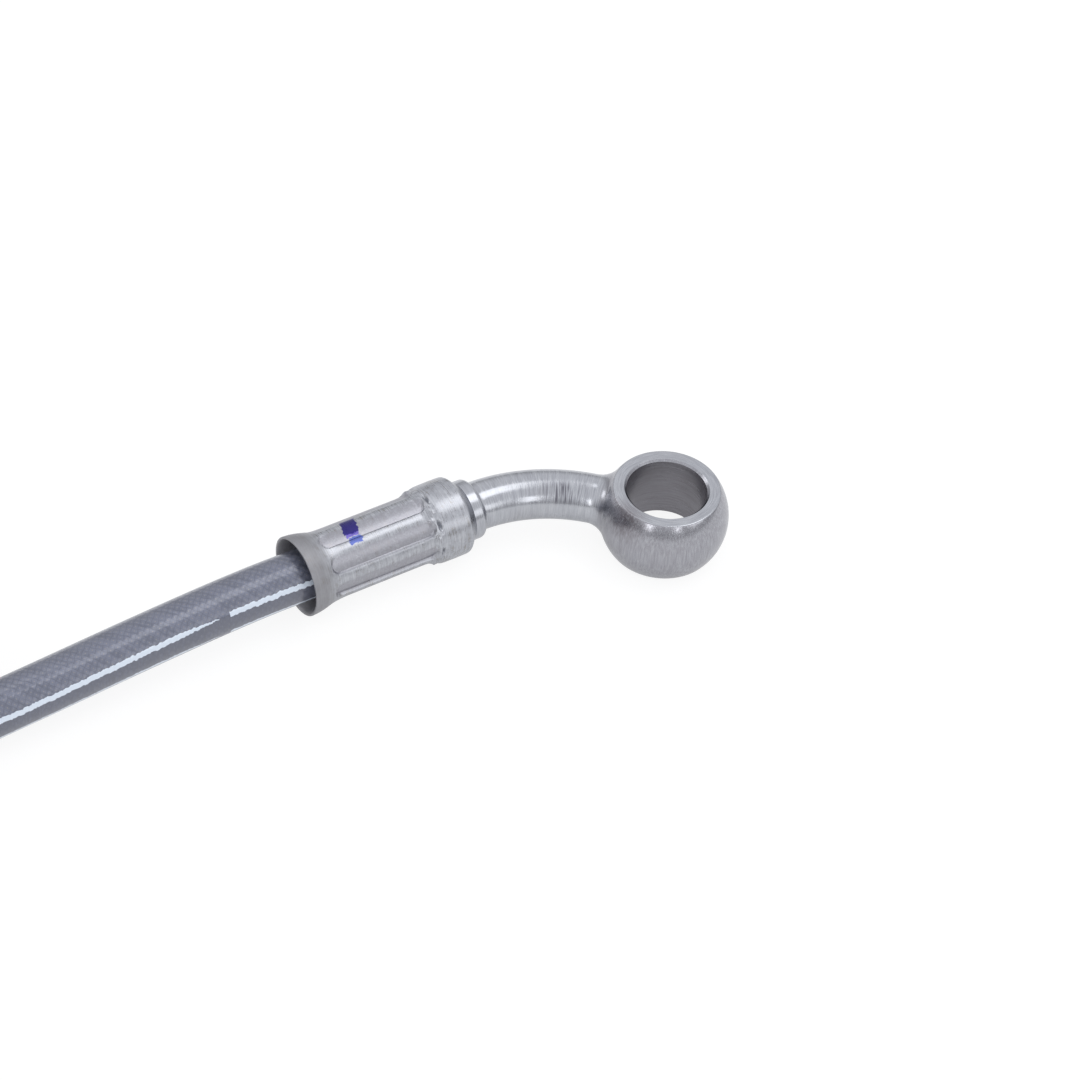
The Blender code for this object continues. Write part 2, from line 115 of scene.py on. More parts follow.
def begin(add: Callable, **settings) -> bpy.types.Object:
    """Add a primitive at its size and place, with nothing else selected.

    Args:
        add: The operator that adds it.
        settings: The operator's settings.

    Returns:
        The new object, with its place moved into its mesh.
    """
    bpy.ops.object.select_all(action="DESELECT")
    add(**settings)
    bpy.ops.object.transform_apply(location=True, rotation=True, scale=True)
    return bpy.context.object


def enter(piece: bpy.types.Object) -> None:
    """Go into edit mode on this piece alone, with nothing in it selected."""
    only(piece)
    bpy.ops.object.mode_set(mode="EDIT")
    bpy.ops.mesh.select_mode(type="VERT")
    bpy.ops.mesh.select_all(action="DESELECT")


def leave() -> None:
    """Go back to object mode."""
    bpy.ops.object.mode_set(mode="OBJECT")


def close_up(merge: float = 0.0) -> None:
    """Merge points that lie closer than this, turn every face outward and go back to object mode."""
    bpy.ops.mesh.select_all(action="SELECT")
    if merge:
        bpy.ops.mesh.remove_doubles(threshold=merge)
    bpy.ops.mesh.normals_make_consistent(inside=False)
    leave()


def pick(piece: bpy.types.Object, kind: str, test: Callable = lambda element: True) -> None:
    """Select faces, edges or vertices of the piece in edit mode, and nothing else.

    Args:
        piece: The piece being edited.
        kind: faces, edges or verts.
        test: Takes the element and says whether it is wanted. Without it, all are.
    """
    mode = {"faces": "FACE", "edges": "EDGE", "verts": "VERT"}[kind]
    bpy.ops.mesh.select_mode(type=mode)
    bpy.ops.mesh.select_all(action="DESELECT")
    shape = bmesh.from_edit_mesh(piece.data)
    for element in getattr(shape, kind):
        if test(element):
            element.select_set(True)
    shape.select_flush_mode()
    bmesh.update_edit_mesh(piece.data)


def draw_out(stations: Sequence[Station]) -> None:
    """Extrude what is selected from station to station, turning and resizing it on the way.

    Args:
        stations: The first is where the selection already is.
    """
    for before, after in pairwise(stations):
        move = after.centre - before.centre
        bpy.ops.mesh.extrude_region_move(TRANSFORM_OT_translate={"value": move})
        if after.turn != before.turn:
            turn = before.turn - after.turn
            bpy.ops.transform.rotate(value=turn, orient_axis="Z", center_override=after.centre)
        if after.radius != before.radius:
            share = after.radius / before.radius
            bpy.ops.transform.resize(value=(share, share, share), center_override=after.centre)


def round_bar(name: str, stations: Sequence[Station], sides: int) -> bpy.types.Object:
    """Model a closed round bar along its stations.

    Args:
        name: The object's name.
        stations: Its rings, the first with its axis along X.
        sides: How many sides it has.

    Returns:
        The bar.
    """
    bar = begin(
        bpy.ops.mesh.primitive_circle_add,
        vertices=sides,
        radius=stations[0].radius,
        fill_type="NGON",
        location=stations[0].centre,
        rotation=(0, math.pi / 2, 0),
    )
    bar.name = name
    enter(bar)
    pick(bar, "faces")
    draw_out(stations)
    close_up()
    return bar


def apply_modifier(piece: bpy.types.Object, kind: str, **settings) -> None:
    """Give the piece a modifier and apply it."""
    only(piece)
    modifier = piece.modifiers.new(kind.title(), kind)
    for setting, value in settings.items():
        setattr(modifier, setting, value)
    bpy.ops.object.modifier_apply(modifier=modifier.name)


def combine(body: bpy.types.Object, other: bpy.types.Object, operation: str) -> None:
    """Join another shape to a body or cut it out, and throw that shape away."""
    apply_modifier(body, "BOOLEAN", operation=operation, solver="EXACT", object=other)
    bpy.data.objects.remove(other, do_unlink=True)


def shade(piece: bpy.types.Object, angle: float) -> None:
    """Shade the piece smooth, with edges sharper than the angle, in degrees, kept sharp."""
    only(piece)
    bpy.ops.object.shade_smooth_by_angle(angle=math.radians(angle))


def keep_vectors(piece: bpy.types.Object, name: str, values: Iterable[Vector]) -> None:
    """Keep a vector for each face corner under this attribute's name."""
    attribute = piece.data.attributes.new(name, "FLOAT_VECTOR", "CORNER")
    flat = [part for value in values for part in value]
    attribute.data.foreach_set("vector", flat)


def corner_places(mesh: bpy.types.Mesh) -> Iterable[tuple[Vector, Vector]]:
    """The middle of the face and the vertex's place, for each face corner in order."""
    for face in mesh.polygons:
        for index in face.vertices:
            yield face.center, mesh.vertices[index].co


def settle(
    piece: bpy.types.Object, name: str, place: Matrix, finishes: Sequence[bpy.types.Material]
) -> None:
    """Name a finished piece, put it in its place and dress it.

    Args:
        piece: The piece, in its own millimetres.
        name: Its final name.
        place: From its millimetres to the row frame.
        finishes: Its materials, in slot order.
    """
    piece.name = name
    piece.data.name = name
    piece.data.transform(place)
    piece.data.update()
    piece.data.materials.clear()
    for finish in finishes:
        piece.data.materials.append(finish)
    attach(piece, ROOT)
    log.info("%s: %d faces", name, len(piece.data.polygons))


# Finishes


class Net:
    """A node tree whose nodes are kept by name, so that later ones can take their outputs."""

    def __init__(self, tree: bpy.types.NodeTree) -> None:
        """Start from an empty tree."""
        self.tree = tree
        self.made: dict[str, bpy.types.Node] = {}
        tree.nodes.clear()

    def add(
        self, name: str, kind: str, inputs: dict | Sequence = (), stops: Sequence = (), **settings
    ) -> None:
        """Add one node with its settings and links.

        An input is a number, a vector, a colour such as #808080, or a link such as @noise or @split.X.

        Args:
            name: The name it is kept under.
            kind: Its type, without the common prefix.
            inputs: By socket name, or in the sockets' order.
            stops: Place and colour of each stop of a colour ramp.
            settings: The node's own settings.
        """
        node = self.tree.nodes.new("ShaderNode" + kind)
        node.name = name
        self.made[name] = node
        for setting, value in settings.items():
            setattr(node, setting, value)
        rows = inputs.items() if isinstance(inputs, dict) else enumerate(inputs)
        for key, value in rows:
            if isinstance(value, str) and value.startswith("@"):
                source, _, output = value[1:].partition(".")
                self.tree.links.new(self.made[source].outputs[output or 0], node.inputs[key])
            else:
                node.inputs[key].default_value = linear(value) if isinstance(value, str) else value
        for index, (spot, colour) in enumerate(stops):
            ramp = node.color_ramp.elements
            stop = ramp[index] if index < 2 else ramp.new(spot)
            stop.position = spot
            stop.color = linear(colour)


def new_material(name: str) -> tuple[bpy.types.Material, Net]:
    """A new material and its empty net."""
    material = bpy.data.materials.new(name)
    material.use_nodes = True
    return material, Net(material.node_tree)


@dataclass(frozen=True)
class TurnedSteel:
    """Zinc-nickel plated free-cutting steel, turned: satin blue-grey with fine tool marks and a few stains.

    The marks run with the tool, so they stretch highlights across them. The plating is duller round the
    ball, darker in streaks on the upper outer side of the bend, and brown where the neck meets the ball.
    """

    name: str = "turned_plated_steel"
    pale: str = "#C0C2C7"
    dark: str = "#AAACB2"
    stain: str = "#8E8480"
    streak: str = "#66646E"
    scorch: str = "#675E62"
    ball: str = "#9C9BA1"
    eye: tuple[float, float, float] = (45.94, -12.56, 0.0)  # mm, the ball's middle
    face: float = 4.6  # mm from the eye's middle to just under its sealing faces
    streaked: tuple[float, float] = (33.5, 41.0)  # mm along the neck from the mouth
    scorched: tuple[float, float, float] = (38.8, -14.0, 4.0)  # where the neck meets the ball
    roughness: float = 0.2
    mark_spacing: float = 0.11  # mm between tool marks, coarser than the real 0.05 so that they show
    mark_depth: float = 0.012  # mm
    stain_size: float = 5.0  # mm

    def build(self) -> bpy.types.Material:
        """Make the material."""
        material, net = new_material(self.name)
        for name in ("lay", "local"):
            net.add(name, "Attribute", attribute_name=name)
        for name, source, scale, detail in (
            ("marks", "@lay.Vector", 1 / self.mark_spacing, 3.0),
            ("bands", "@lay.Vector", 0.9, 2.0),
            ("lines", "@lay.Vector", 5.0, 4.0),
            ("stains", "@local.Vector", 1 / self.stain_size, 5.0),
        ):
            net.add(name, "TexNoise", {"Vector": source, "Scale": scale, "Detail": detail})
        net.add("tone", "Mix", {"Factor": 0.25, "A": "@marks.Fac", "B": "@bands.Fac"}, data_type="FLOAT")
        net.add("steel", "ValToRGB", ("@tone",), stops=[(0.35, self.dark), (0.62, self.pale)])
        net.add("stained", "ValToRGB", ("@stains.Fac",), stops=[(0.5, "#000000"), (0.75, "#5A5A5A")])
        self.add_handling(net)
        layer = "@steel"
        for name, share, tint in (
            ("colour", "@stained", self.stain),
            ("streaky", "@streaks", self.streak),
            ("duller", "@ball_share", self.ball),
            ("finished", "@scorch", self.scorch),
        ):
            net.add(name, "Mix", {"Factor": share, "A": layer, "B": tint}, data_type="RGBA")
            layer = f"@{name}.Result"
        net.add("rough", "MapRange", ("@tone", 0.3, 0.7, self.roughness - 0.06, self.roughness + 0.1))
        depth = self.mark_depth * MM
        net.add("bump", "Bump", {"Strength": 0.6, "Distance": depth, "Height": "@marks.Fac"})
        look = {"Base Color": layer, "Metallic": 1.0, "Roughness": "@rough", "Normal": "@bump"}
        net.add("shader", "BsdfPrincipled", look)
        net.add("out", "OutputMaterial", ("@shader",))
        return material

    def add_handling(self, net: Net) -> None:
        """Add the shares of the dark streaks across the bend, of the duller ball and of the scorch."""
        first, last = self.streaked
        fade = 2.5
        net.add("run", "SeparateXYZ", ("@lay.Vector",))
        net.add("height", "SeparateXYZ", ("@local.Vector",))
        net.add("near", "VectorMath", ("@local.Vector", self.scorched), operation="DISTANCE")
        net.add("from_eye", "VectorMath", ("@local.Vector", self.eye), operation="DISTANCE")
        for name, *ends in (
            ("after", "@run.X", first, first + fade),
            ("before", "@run.X", last, last - fade),
            ("above", "@height.Z", 0.9, 1.7),
            ("outward", "@run.Y", 0.03, 0.09),
            ("dark_lines", "@lines.Fac", 0.46, 0.58, 0.0, 0.85),
            ("browned", "@near.Value", 0.4, 3.6, 1.0, 0.0),
            ("patchy", "@lines.Fac", 0.3, 0.6, 0.3, 0.75),
            ("on_ball", "@from_eye.Value", 9.0, 8.3),
            ("grooves", "@lines.Fac", 0.35, 0.65, 0.35),
        ):
            net.add(name, "MapRange", ends)
        for name, operation, *terms in (
            ("span", "MULTIPLY", "@after", "@before"),
            ("side", "MULTIPLY", "@above", "@outward"),
            ("upper", "MULTIPLY", "@span", "@side"),
            ("streaks", "MULTIPLY", "@upper", "@dark_lines"),
            ("scorch", "MULTIPLY", "@browned", "@patchy"),
            ("level", "ABSOLUTE", "@height.Z"),
            ("below_face", "LESS_THAN", "@level", self.face),
            ("ball_side", "MULTIPLY", "@on_ball", "@below_face"),
            ("ball_share", "MULTIPLY", "@ball_side", "@grooves"),
        ):
            net.add(name, "Math", terms, operation=operation)


@dataclass(frozen=True)
class InkMark:
    """A patch of ink: its middle and its reach, in mm along and degrees round, its share and its colour."""

    name: str
    middle: tuple[float, float]
    reach: tuple[float, float]
    share: float
    tint: str


@dataclass(frozen=True)
class CrimpedSteel:
    """Plated mild steel sleeve, turned and then squeezed by dies: duller than the fitting, scuffed on its
    ridges and brownish in its hollows, with turning marks that stay visible between the dies' grainy faces.

    The inspection mark is a dab of indigo ink, with a violet fringe and a thin blue smear. Towards the
    mouth, outside and inside, the steel is darker and brownish: partly its own tone and partly painted
    shade.
    """

    name: str = "crimped_plated_steel"
    pale: str = "#C0C2C7"
    dark: str = "#A9ABB1"
    hollow: str = "#9A9794"
    # flare: darker, brownish colour towards the mouth, partly the flare's own tone and partly painted shade
    flare: str = "#918F91"
    panel: str = "#A2A1A8"
    roughness: float = 0.3
    mark_spacing: float = 0.12  # mm
    mark_depth: float = 0.011  # mm
    ink: tuple[InkMark, ...] = (
        InkMark("smear", (7.85, 18.5), (0.85, 6.5), 0.85, "#4457A8"),
        InkMark("fringe", (7.65, 7.0), (0.9, 4.0), 0.8, "#5C4CB0"),
        InkMark("dab", (7.55, -12.5), (1.05, 17.5), 0.94, "#2F2878"),
    )
    ink_slant: float = 0.019  # mm along for each degree round

    def build(self, inked: bool) -> bpy.types.Material:
        """Make the material, with or without the inspection mark."""
        material, net = new_material(self.name + ("_inked" if inked else ""))
        for name in ("lay", "local", "pressed"):
            net.add(name, "Attribute", attribute_name=name)
        for name, source, scale, detail, rough in (
            ("marks", "@lay.Vector", 1 / self.mark_spacing, 3.0, 0.5),
            ("scuffs", "@local.Vector", 1.1, 6.0, 0.7),
            ("grains", "@local.Vector", 4.5, 3.0, 0.5),
        ):
            pattern = {"Vector": source, "Scale": scale, "Detail": detail, "Roughness": rough}
            net.add(name, "TexNoise", pattern)
        net.add("tone", "Mix", {"Factor": 0.5, "A": "@marks.Fac", "B": "@scuffs.Fac"}, data_type="FLOAT")
        net.add("height", "Mix", {"Factor": 0.4, "A": "@marks.Fac", "B": "@scuffs.Fac"}, data_type="FLOAT")
        net.add(
            "steel", "ValToRGB", ("@tone",), stops=[(0.36, self.hollow), (0.46, self.dark), (0.6, self.pale)]
        )
        net.add("spread", "SeparateXYZ", ("@local.Vector",))
        net.add("flare", "MapRange", ("@spread.X", 1.6, 3.6, 0.6, 0.0))
        net.add("grainy", "MapRange", ("@grains.Fac", 0.35, 0.65, 0.25))
        net.add("rough", "MapRange", ("@tone", 0.35, 0.65, self.roughness - 0.08, self.roughness + 0.1))
        for name, operation, *terms in (
            ("matte", "MULTIPLY", "@pressed.Fac", "@grainy"),
            ("dulled", "MULTIPLY_ADD", "@flare", 0.35, "@rough"),
            ("worn", "MULTIPLY_ADD", "@pressed.Fac", 0.05, "@dulled"),
            ("dents", "MULTIPLY", "@pressed.Fac", "@grains.Fac"),
            ("hammered", "MULTIPLY_ADD", "@dents", 1.6, "@height"),
        ):
            net.add(name, "Math", terms, operation=operation)
        layer = "@steel"
        # Towards the mouth the colour turns darker and brownish: partly its own tone, partly painted shade
        for name, share, tint in (("flared", "@flare", self.flare), ("sleeve", "@matte", self.panel)):
            net.add(name, "Mix", {"Factor": share, "A": layer, "B": tint}, data_type="RGBA")
            layer = f"@{name}.Result"
        if inked:
            layer = self.add_ink(net, layer)
        depth = self.mark_depth * MM
        net.add("bump", "Bump", {"Strength": 0.7, "Distance": depth, "Height": "@hammered"})
        look = {"Base Color": layer, "Metallic": 1.0, "Roughness": "@worn", "Normal": "@bump"}
        net.add("shader", "BsdfPrincipled", look)
        net.add("out", "OutputMaterial", ("@shader",))
        return material

    def add_ink(self, net: Net, layer: str) -> str:
        """Lay the ink over the steel, by distance along and degrees round.

        Args:
            net: The material's net.
            layer: The link to the bare steel's colour.

        Returns:
            The link to the inked colour.
        """
        net.add("wander", "TexNoise", {"Vector": "@local.Vector", "Scale": 2.2, "Detail": 4.0})
        net.add("ragged", "VectorMath", ("@wander.Color", (0.5, 0.5, 0.5)), operation="SUBTRACT")
        net.add("shift", "VectorMath", {0: "@ragged", "Scale": 0.8}, operation="SCALE")
        net.add("spot", "VectorMath", ("@local.Vector", "@shift"), operation="ADD")
        net.add("place", "SeparateXYZ", ("@spot",))
        for name, operation, *terms in (
            ("aside", "MULTIPLY", "@place.Y", -1.0),
            ("turn", "ARCTAN2", "@aside", "@place.Z"),
            ("degrees", "DEGREES", "@turn"),
            ("slanted", "MULTIPLY_ADD", "@degrees", self.ink_slant, "@place.X"),
        ):
            net.add(name, "Math", terms, operation=operation)
        for mark in self.ink:
            for source, middle, reach in zip(("slanted", "degrees"), mark.middle, mark.reach):
                key = f"{mark.name}_{source}"
                net.add(key + "_from", "Math", ("@" + source, middle), operation="SUBTRACT")
                net.add(key + "_off", "Math", (f"@{key}_from",), operation="ABSOLUTE")
                net.add(key, "Math", (f"@{key}_off", reach), operation="DIVIDE")
            far = mark.name + "_far"
            share = mark.name + "_share"
            net.add(far, "Math", (f"@{mark.name}_slanted", f"@{mark.name}_degrees"), operation="MAXIMUM")
            net.add(share, "MapRange", ("@" + far, 0.95, 1.05, mark.share, 0.0))
            net.add(mark.name, "Mix", {"Factor": "@" + share, "A": layer, "B": mark.tint}, data_type="RGBA")
            layer = f"@{mark.name}.Result"
        return layer


@dataclass(frozen=True)
class SmokedJacket:
    """Smoked clear PVC jacket over a braid of stainless wire: glossy, with the weave seen through it.

    The jacket mirrors the lamps as sharp pale lines and tints the braid blue-grey. The braid shows as two
    sets of strands crossing on the slant, with a warm glint where one lies on the other.
    """

    name: str = "smoked_pvc_over_steel_braid"
    strands: int = 20  # each way round
    crossing: float = 0.95  # mm along the hose from one crossing to the next
    wires: int = 3  # drawn in each strand; the real strand has about 6
    gap: str = "#666A79"
    wire: str = "#777B8B"
    glint: str = "#9A928D"
    roughness: float = 0.45
    film_roughness: float = 0.08
    line: str = "#DDE7F3"  # printed, on both sides of the frosted band
    frost: str = "#5F626F"
    band_middle: float = 89 / 360  # turns from straight up
    band_half: float = 26 / 360
    line_half: float = 6 / 360
    sway: float = 2.5 / 360
    chip: float = 5 / 360
    break_at: float = 31.9  # mm from the hose's end
    break_length: float = 1.5  # mm
    taper: float = 5.5  # mm over which a line grows to its full width again
    repeat: float = 64.0  # mm from one break to the next

    def build(self) -> bpy.types.Material:
        """Make the material, on a UV map with millimetres along and turns round."""
        material, net = new_material(self.name)
        net.add("uv", "UVMap", uv_map="along_and_round")
        net.add("split", "SeparateXYZ", ("@uv",))
        net.add("object", "TexCoord")
        net.add("ripple", "TexNoise", {"Vector": "@object.Object", "Scale": 700.0, "Detail": 2.0})
        self.add_weave(net)
        self.add_print(net)
        layer = "@weave"
        for name, share, tint in (
            ("braid", "@glint_share", self.glint),
            ("banded", "@frosted", self.frost),
            ("printed", "@on_line", self.line),
        ):
            net.add(name, "Mix", {"Factor": share, "A": layer, "B": tint}, data_type="RGBA")
            layer = f"@{name}.Result"
        net.add("bump", "Bump", {"Strength": 0.22, "Distance": 0.08 * MM, "Height": "@uneven"})
        net.add("swell", "Math", ("@ripple.Fac", 0.35, "@crown"), operation="MULTIPLY_ADD")
        net.add("film", "Bump", {"Strength": 0.25, "Distance": 0.02 * MM, "Height": "@swell"})
        net.add("metal", "MapRange", ("@covered", 0.0, 1.0, 0.75, 0.0))
        look = {"Base Color": layer, "Metallic": "@metal", "Roughness": self.roughness}
        film = {"Coat Weight": 1.0, "Coat Roughness": self.film_roughness, "Coat IOR": 1.52}
        net.add("shader", "BsdfPrincipled", {**look, **film, "Normal": "@bump", "Coat Normal": "@film"})
        net.add("out", "OutputMaterial", ("@shader",))
        return material

    def add_weave(self, net: Net) -> None:
        """Add two sets of strands, each passing over and under the other."""
        net.add("along", "Math", ("@split.X", 1 / self.crossing), operation="MULTIPLY")
        net.add("round", "Math", ("@split.Y", float(self.strands)), operation="MULTIPLY")
        for side, way in (("left", "ADD"), ("right", "SUBTRACT")):
            for name, operation, *terms in (
                ("", way, "@round", "@along"),
                ("_cell", "FLOOR", "@" + side),
                ("_in", "SUBTRACT", "@" + side, f"@{side}_cell"),
                ("_off", "SUBTRACT", f"@{side}_in", 0.5),
                ("_from", "ABSOLUTE", f"@{side}_off"),
                ("_turns", "MULTIPLY", f"@{side}_in", math.tau * self.wires),
                ("_wire", "COSINE", f"@{side}_turns"),
            ):
                net.add(side + name, "Math", terms, operation=operation)
        net.add("cells", "Math", ("@left_cell", "@right_cell"), operation="ADD")
        net.add("over", "Math", ("@cells", 2.0), operation="FLOORED_MODULO")
        net.add("edge", "Mix", {"Factor": "@over", "A": "@left_from", "B": "@right_from"}, data_type="FLOAT")
        net.add("fine", "Mix", {"Factor": "@over", "A": "@left_wire", "B": "@right_wire"}, data_type="FLOAT")
        net.add("crown", "MapRange", ("@edge", 0.5, 0.2))
        net.add("slow", "Math", ("@right", 0.12), operation="MULTIPLY")
        net.add("brushed", "CombineXYZ", ("@left", "@slow"))
        net.add("streaks", "TexNoise", {"Vector": "@brushed", "Scale": 0.9, "Detail": 2.0})
        net.add("streaked", "MapRange", ("@streaks.Fac", 0.35, 0.65, -0.55, 0.55))
        net.add("ribbed", "Math", ("@fine", -0.18, "@crown"), operation="MULTIPLY_ADD")
        net.add("uneven", "Math", ("@ribbed", "@streaked"), operation="ADD")
        net.add("weave", "ValToRGB", ("@uneven",), stops=[(0.0, self.gap), (1.0, self.wire)])
        net.add("between", "Math", ("@left_from", "@right_from"), operation="ADD")
        net.add("glint_share", "MapRange", ("@between", 0.08, 0.2, 0.55, 0.0))

    def add_print(self, net: Net) -> None:
        """Add two printed lines with a frosted band between them, broken at even distances."""
        net.add("chips", "TexNoise", {"Vector": "@uv", "Scale": 2.2, "Detail": 3.0})
        net.add("chipped", "MapRange", ("@chips.Fac", 0.0, 1.0, -self.chip, self.chip))
        net.add("grains", "TexNoise", {"Vector": "@uv", "Scale": 4.5, "Detail": 2.0})
        net.add("cloudy", "MapRange", ("@grains.Fac", 0.4, 0.6, 0.45))
        for name, operation, *terms in (
            ("phase", "MULTIPLY", "@split.X", 0.13),
            ("wave", "SINE", "@phase"),
            ("middle", "MULTIPLY_ADD", "@wave", self.sway, self.band_middle),
            ("turned", "FRACT", "@split.Y"),
            ("aside", "SUBTRACT", "@turned", "@middle"),
            ("off", "ABSOLUTE", "@aside"),
            ("edged", "ADD", "@off", "@chipped"),
            ("past", "SUBTRACT", "@edged", self.band_half),
            ("from_line", "ABSOLUTE", "@past"),
            ("run", "SUBTRACT", "@split.X", self.break_at),
            ("since", "FLOORED_MODULO", "@run", self.repeat),
            ("there", "GREATER_THAN", "@since", self.break_length),
            ("in_band", "LESS_THAN", "@past", 0.0),
            ("frosted", "MULTIPLY", "@in_band", "@cloudy"),
        ):
            net.add(name, "Math", terms, operation=operation)
        full = self.break_length + self.taper
        narrow = 0.15 * self.line_half
        net.add("grown", "MapRange", ("@since", self.break_length, full, narrow, self.line_half))
        net.add("reach", "Math", ("@grown", "@there"), operation="MULTIPLY")
        net.add("on_line", "Math", ("@from_line", "@reach"), operation="LESS_THAN")
        net.add("covered", "Math", ("@frosted", "@on_line"), operation="MAXIMUM")


@dataclass(frozen=True)
class TieNylon:
    """Black nylon 6.6, moulded: a soft satin with a faint pebble from the mould."""

    name: str = "moulded_black_nylon"
    black: str = "#1B1B1D"
    worn: str = "#2A2A2D"
    pebble: float = 0.25  # mm

    def build(self) -> bpy.types.Material:
        """Make the material."""
        material, net = new_material(self.name)
        net.add("object", "TexCoord")
        scale = 1 / (self.pebble * MM)
        net.add("grain", "TexNoise", {"Vector": "@object.Object", "Scale": scale, "Detail": 2.0})
        net.add("colour", "ValToRGB", ("@grain.Fac",), stops=[(0.3, self.black), (0.7, self.worn)])
        net.add("rough", "MapRange", ("@grain.Fac", 0.0, 1.0, 0.38, 0.56))
        net.add("bump", "Bump", {"Strength": 0.3, "Distance": 0.02 * MM, "Height": "@grain.Fac"})
        look = {"Base Color": "@colour", "Roughness": "@rough", "IOR": 1.53, "Normal": "@bump"}
        net.add("shader", "BsdfPrincipled", look)
        net.add("out", "OutputMaterial", ("@shader",))
        return material


# The sub-assemblies


@dataclass(frozen=True)
class BanjoFitting:
    """The eye, the bent neck, the collar, the spigot and the nipple: one piece of steel, in millimetres."""

    bore: float = 10.2
    ball: float = 16.4
    thickness: float = 9.3
    bore_chamfer: float = 0.3
    face_edge: float = 0.12
    neck: float = 6.3
    bend_start: float = 25.3
    bend_radius: float = 20.3
    bend: float = math.radians(46.5)
    stub: float = 8.6
    fillet: float = 3.0
    fillet_bite: float = 0.02
    passage: float = 2.5
    nipple_tip: float = 4.0
    nipple: float = 2.6
    nipple_bore: float = 1.5
    bevel: float = 0.15
    shoulder: float = 21.3
    spigot: float = 4.4
    collar_start: float = 23.56
    collar: float = 7.8
    collar_length: float = 1.76
    collar_round: float = 0.6
    sides: int = 96
    bend_rings: int = 26
    ball_segments: int = 144
    ball_rings: int = 72

    @property
    def run(self) -> float:
        """From the mouth to the eye's centre, along the centreline."""
        return self.bend_start + self.bend_radius * self.bend + self.stub

    def turned_at(self, run: float) -> float:
        """How far the neck has bent at this run."""
        return min(max((run - self.bend_start) / self.bend_radius, 0.0), self.bend)

    def along(self, run: float) -> Vector:
        """The point of the centreline at this run from the mouth."""
        if run <= self.bend_start:
            return Vector((run, 0, 0))
        turn = self.turned_at(run)
        rest = max(run - self.bend_start - self.bend_radius * self.bend, 0.0)
        return Vector((
            self.bend_start + self.bend_radius * math.sin(turn) + rest * math.cos(turn),
            -self.bend_radius * (1 - math.cos(turn)) - rest * math.sin(turn),
            0,
        ))

    def run_of(self, point: Vector) -> float:
        """The run of the centreline's point nearest to this one."""
        centre = Vector((self.bend_start, -self.bend_radius, 0))
        out = point - centre
        turn = math.atan2(point.x - centre.x, out.y)
        if turn <= 0:
            return point.x
        if turn < self.bend:
            return self.bend_start + self.bend_radius * turn
        end = self.along(self.bend_start + self.bend_radius * self.bend)
        heading = Vector((math.cos(self.bend), -math.sin(self.bend), 0))
        return self.bend_start + self.bend_radius * self.bend + (point - end).dot(heading)

    def station(self, run: float, radius: float) -> Station:
        """A ring of the bar at this run."""
        return Station(self.along(run), radius, -self.turned_at(run))

    def fillet_rings(self) -> list[tuple[float, float]]:
        """Run and radius of the fillet that flows from the neck into the ball."""
        ball = self.ball / 2 - self.fillet_bite
        neck = self.neck / 2
        start = math.sqrt((ball + self.fillet) ** 2 - (neck + self.fillet) ** 2)
        end = start * ball / (ball + self.fillet)
        rings = []
        count = 10
        for index in range(count + 1):
            from_eye = start + (end - start) * math.sin(math.pi / 2 * index / count)
            radius = neck + self.fillet - math.sqrt(self.fillet**2 - (start - from_eye) ** 2)
            rings.append((self.run - from_eye, radius))
        return rings

    def rings(self) -> list[tuple[float, float]]:
        """Run and radius of the whole bar, from the nipple's tip to its root inside the ball."""
        neck = self.neck / 2
        collar = self.collar / 2
        collar_end = self.collar_start + self.collar_length
        rings = [  # the last four are the collar's back face, all but flat, and its edge
            (self.nipple_tip, self.nipple / 2 - self.bevel),
            (self.nipple_tip + 2 * self.bevel, self.nipple / 2),
            (self.shoulder, self.nipple / 2),
            (self.shoulder + self.bevel, self.spigot / 2),
            (self.collar_start - 0.05, self.spigot / 2),
            (self.collar_start - 0.045, collar - 0.35),
            (self.collar_start - 0.04, collar - 0.08),
            (self.collar_start + 0.04, collar),
        ]
        arcs = 8
        for index in range(arcs + 1):
            turn = math.pi / 2 * index / arcs
            rings.append((
                collar_end - self.collar_round * (1 - math.sin(turn)),
                neck + 0.1 + (collar - neck - 0.1) * math.cos(turn),
            ))
        rings.append((collar_end + 0.12, neck + 0.03))
        fillet = self.fillet_rings()
        start = collar_end + 0.3
        step = (fillet[0][0] - start) / self.bend_rings
        rings += [(start + step * index, neck) for index in range(self.bend_rings)]
        root = self.run - self.bore / 2 - 0.9
        return rings + fillet + [(root, fillet[-1][1] - 0.3)]

    def make_eye(self) -> bpy.types.Object:
        """The ball with its two sealing faces and its chamfered bore."""
        half = self.thickness / 2
        centre = self.along(self.run)
        eye = begin(
            bpy.ops.mesh.primitive_uv_sphere_add,
            segments=self.ball_segments,
            ring_count=self.ball_rings,
            radius=self.ball / 2,
            location=centre,
        )
        enter(eye)
        for side in (1, -1):
            bpy.ops.mesh.select_all(action="SELECT")
            bpy.ops.mesh.bisect(
                plane_co=centre + Vector((0, 0, half * side)),
                plane_no=(0, 0, side),
                use_fill=True,
                clear_outer=True,
            )
        ring = math.sqrt((self.ball / 2) ** 2 - half**2)
        mouth = self.bore / 2 + self.bore_chamfer
        pick(eye, "faces", lambda face: abs(face.normal.z) > 0.999 and len(face.verts) > 8)
        bpy.ops.mesh.inset(thickness=ring - mouth, depth=0)
        bpy.ops.mesh.inset(thickness=self.bore_chamfer, depth=-self.bore_chamfer)
        bpy.ops.mesh.delete(type="FACE")
        pick(eye, "edges", lambda edge: edge.is_boundary)
        bpy.ops.mesh.bridge_edge_loops()

        def on_rim(edge: bmesh.types.BMEdge) -> bool:
            """Whether a sealing face meets the ball at this edge."""
            spots = [(abs(vert.co.z), (vert.co - centre).xy.length) for vert in edge.verts]
            return all(abs(level - half) < 0.001 and abs(out - ring) < 0.01 for level, out in spots)

        pick(eye, "edges", on_rim)
        bpy.ops.mesh.bevel(offset=self.face_edge, segments=3, affect="EDGES")
        close_up(SNUG)
        return eye

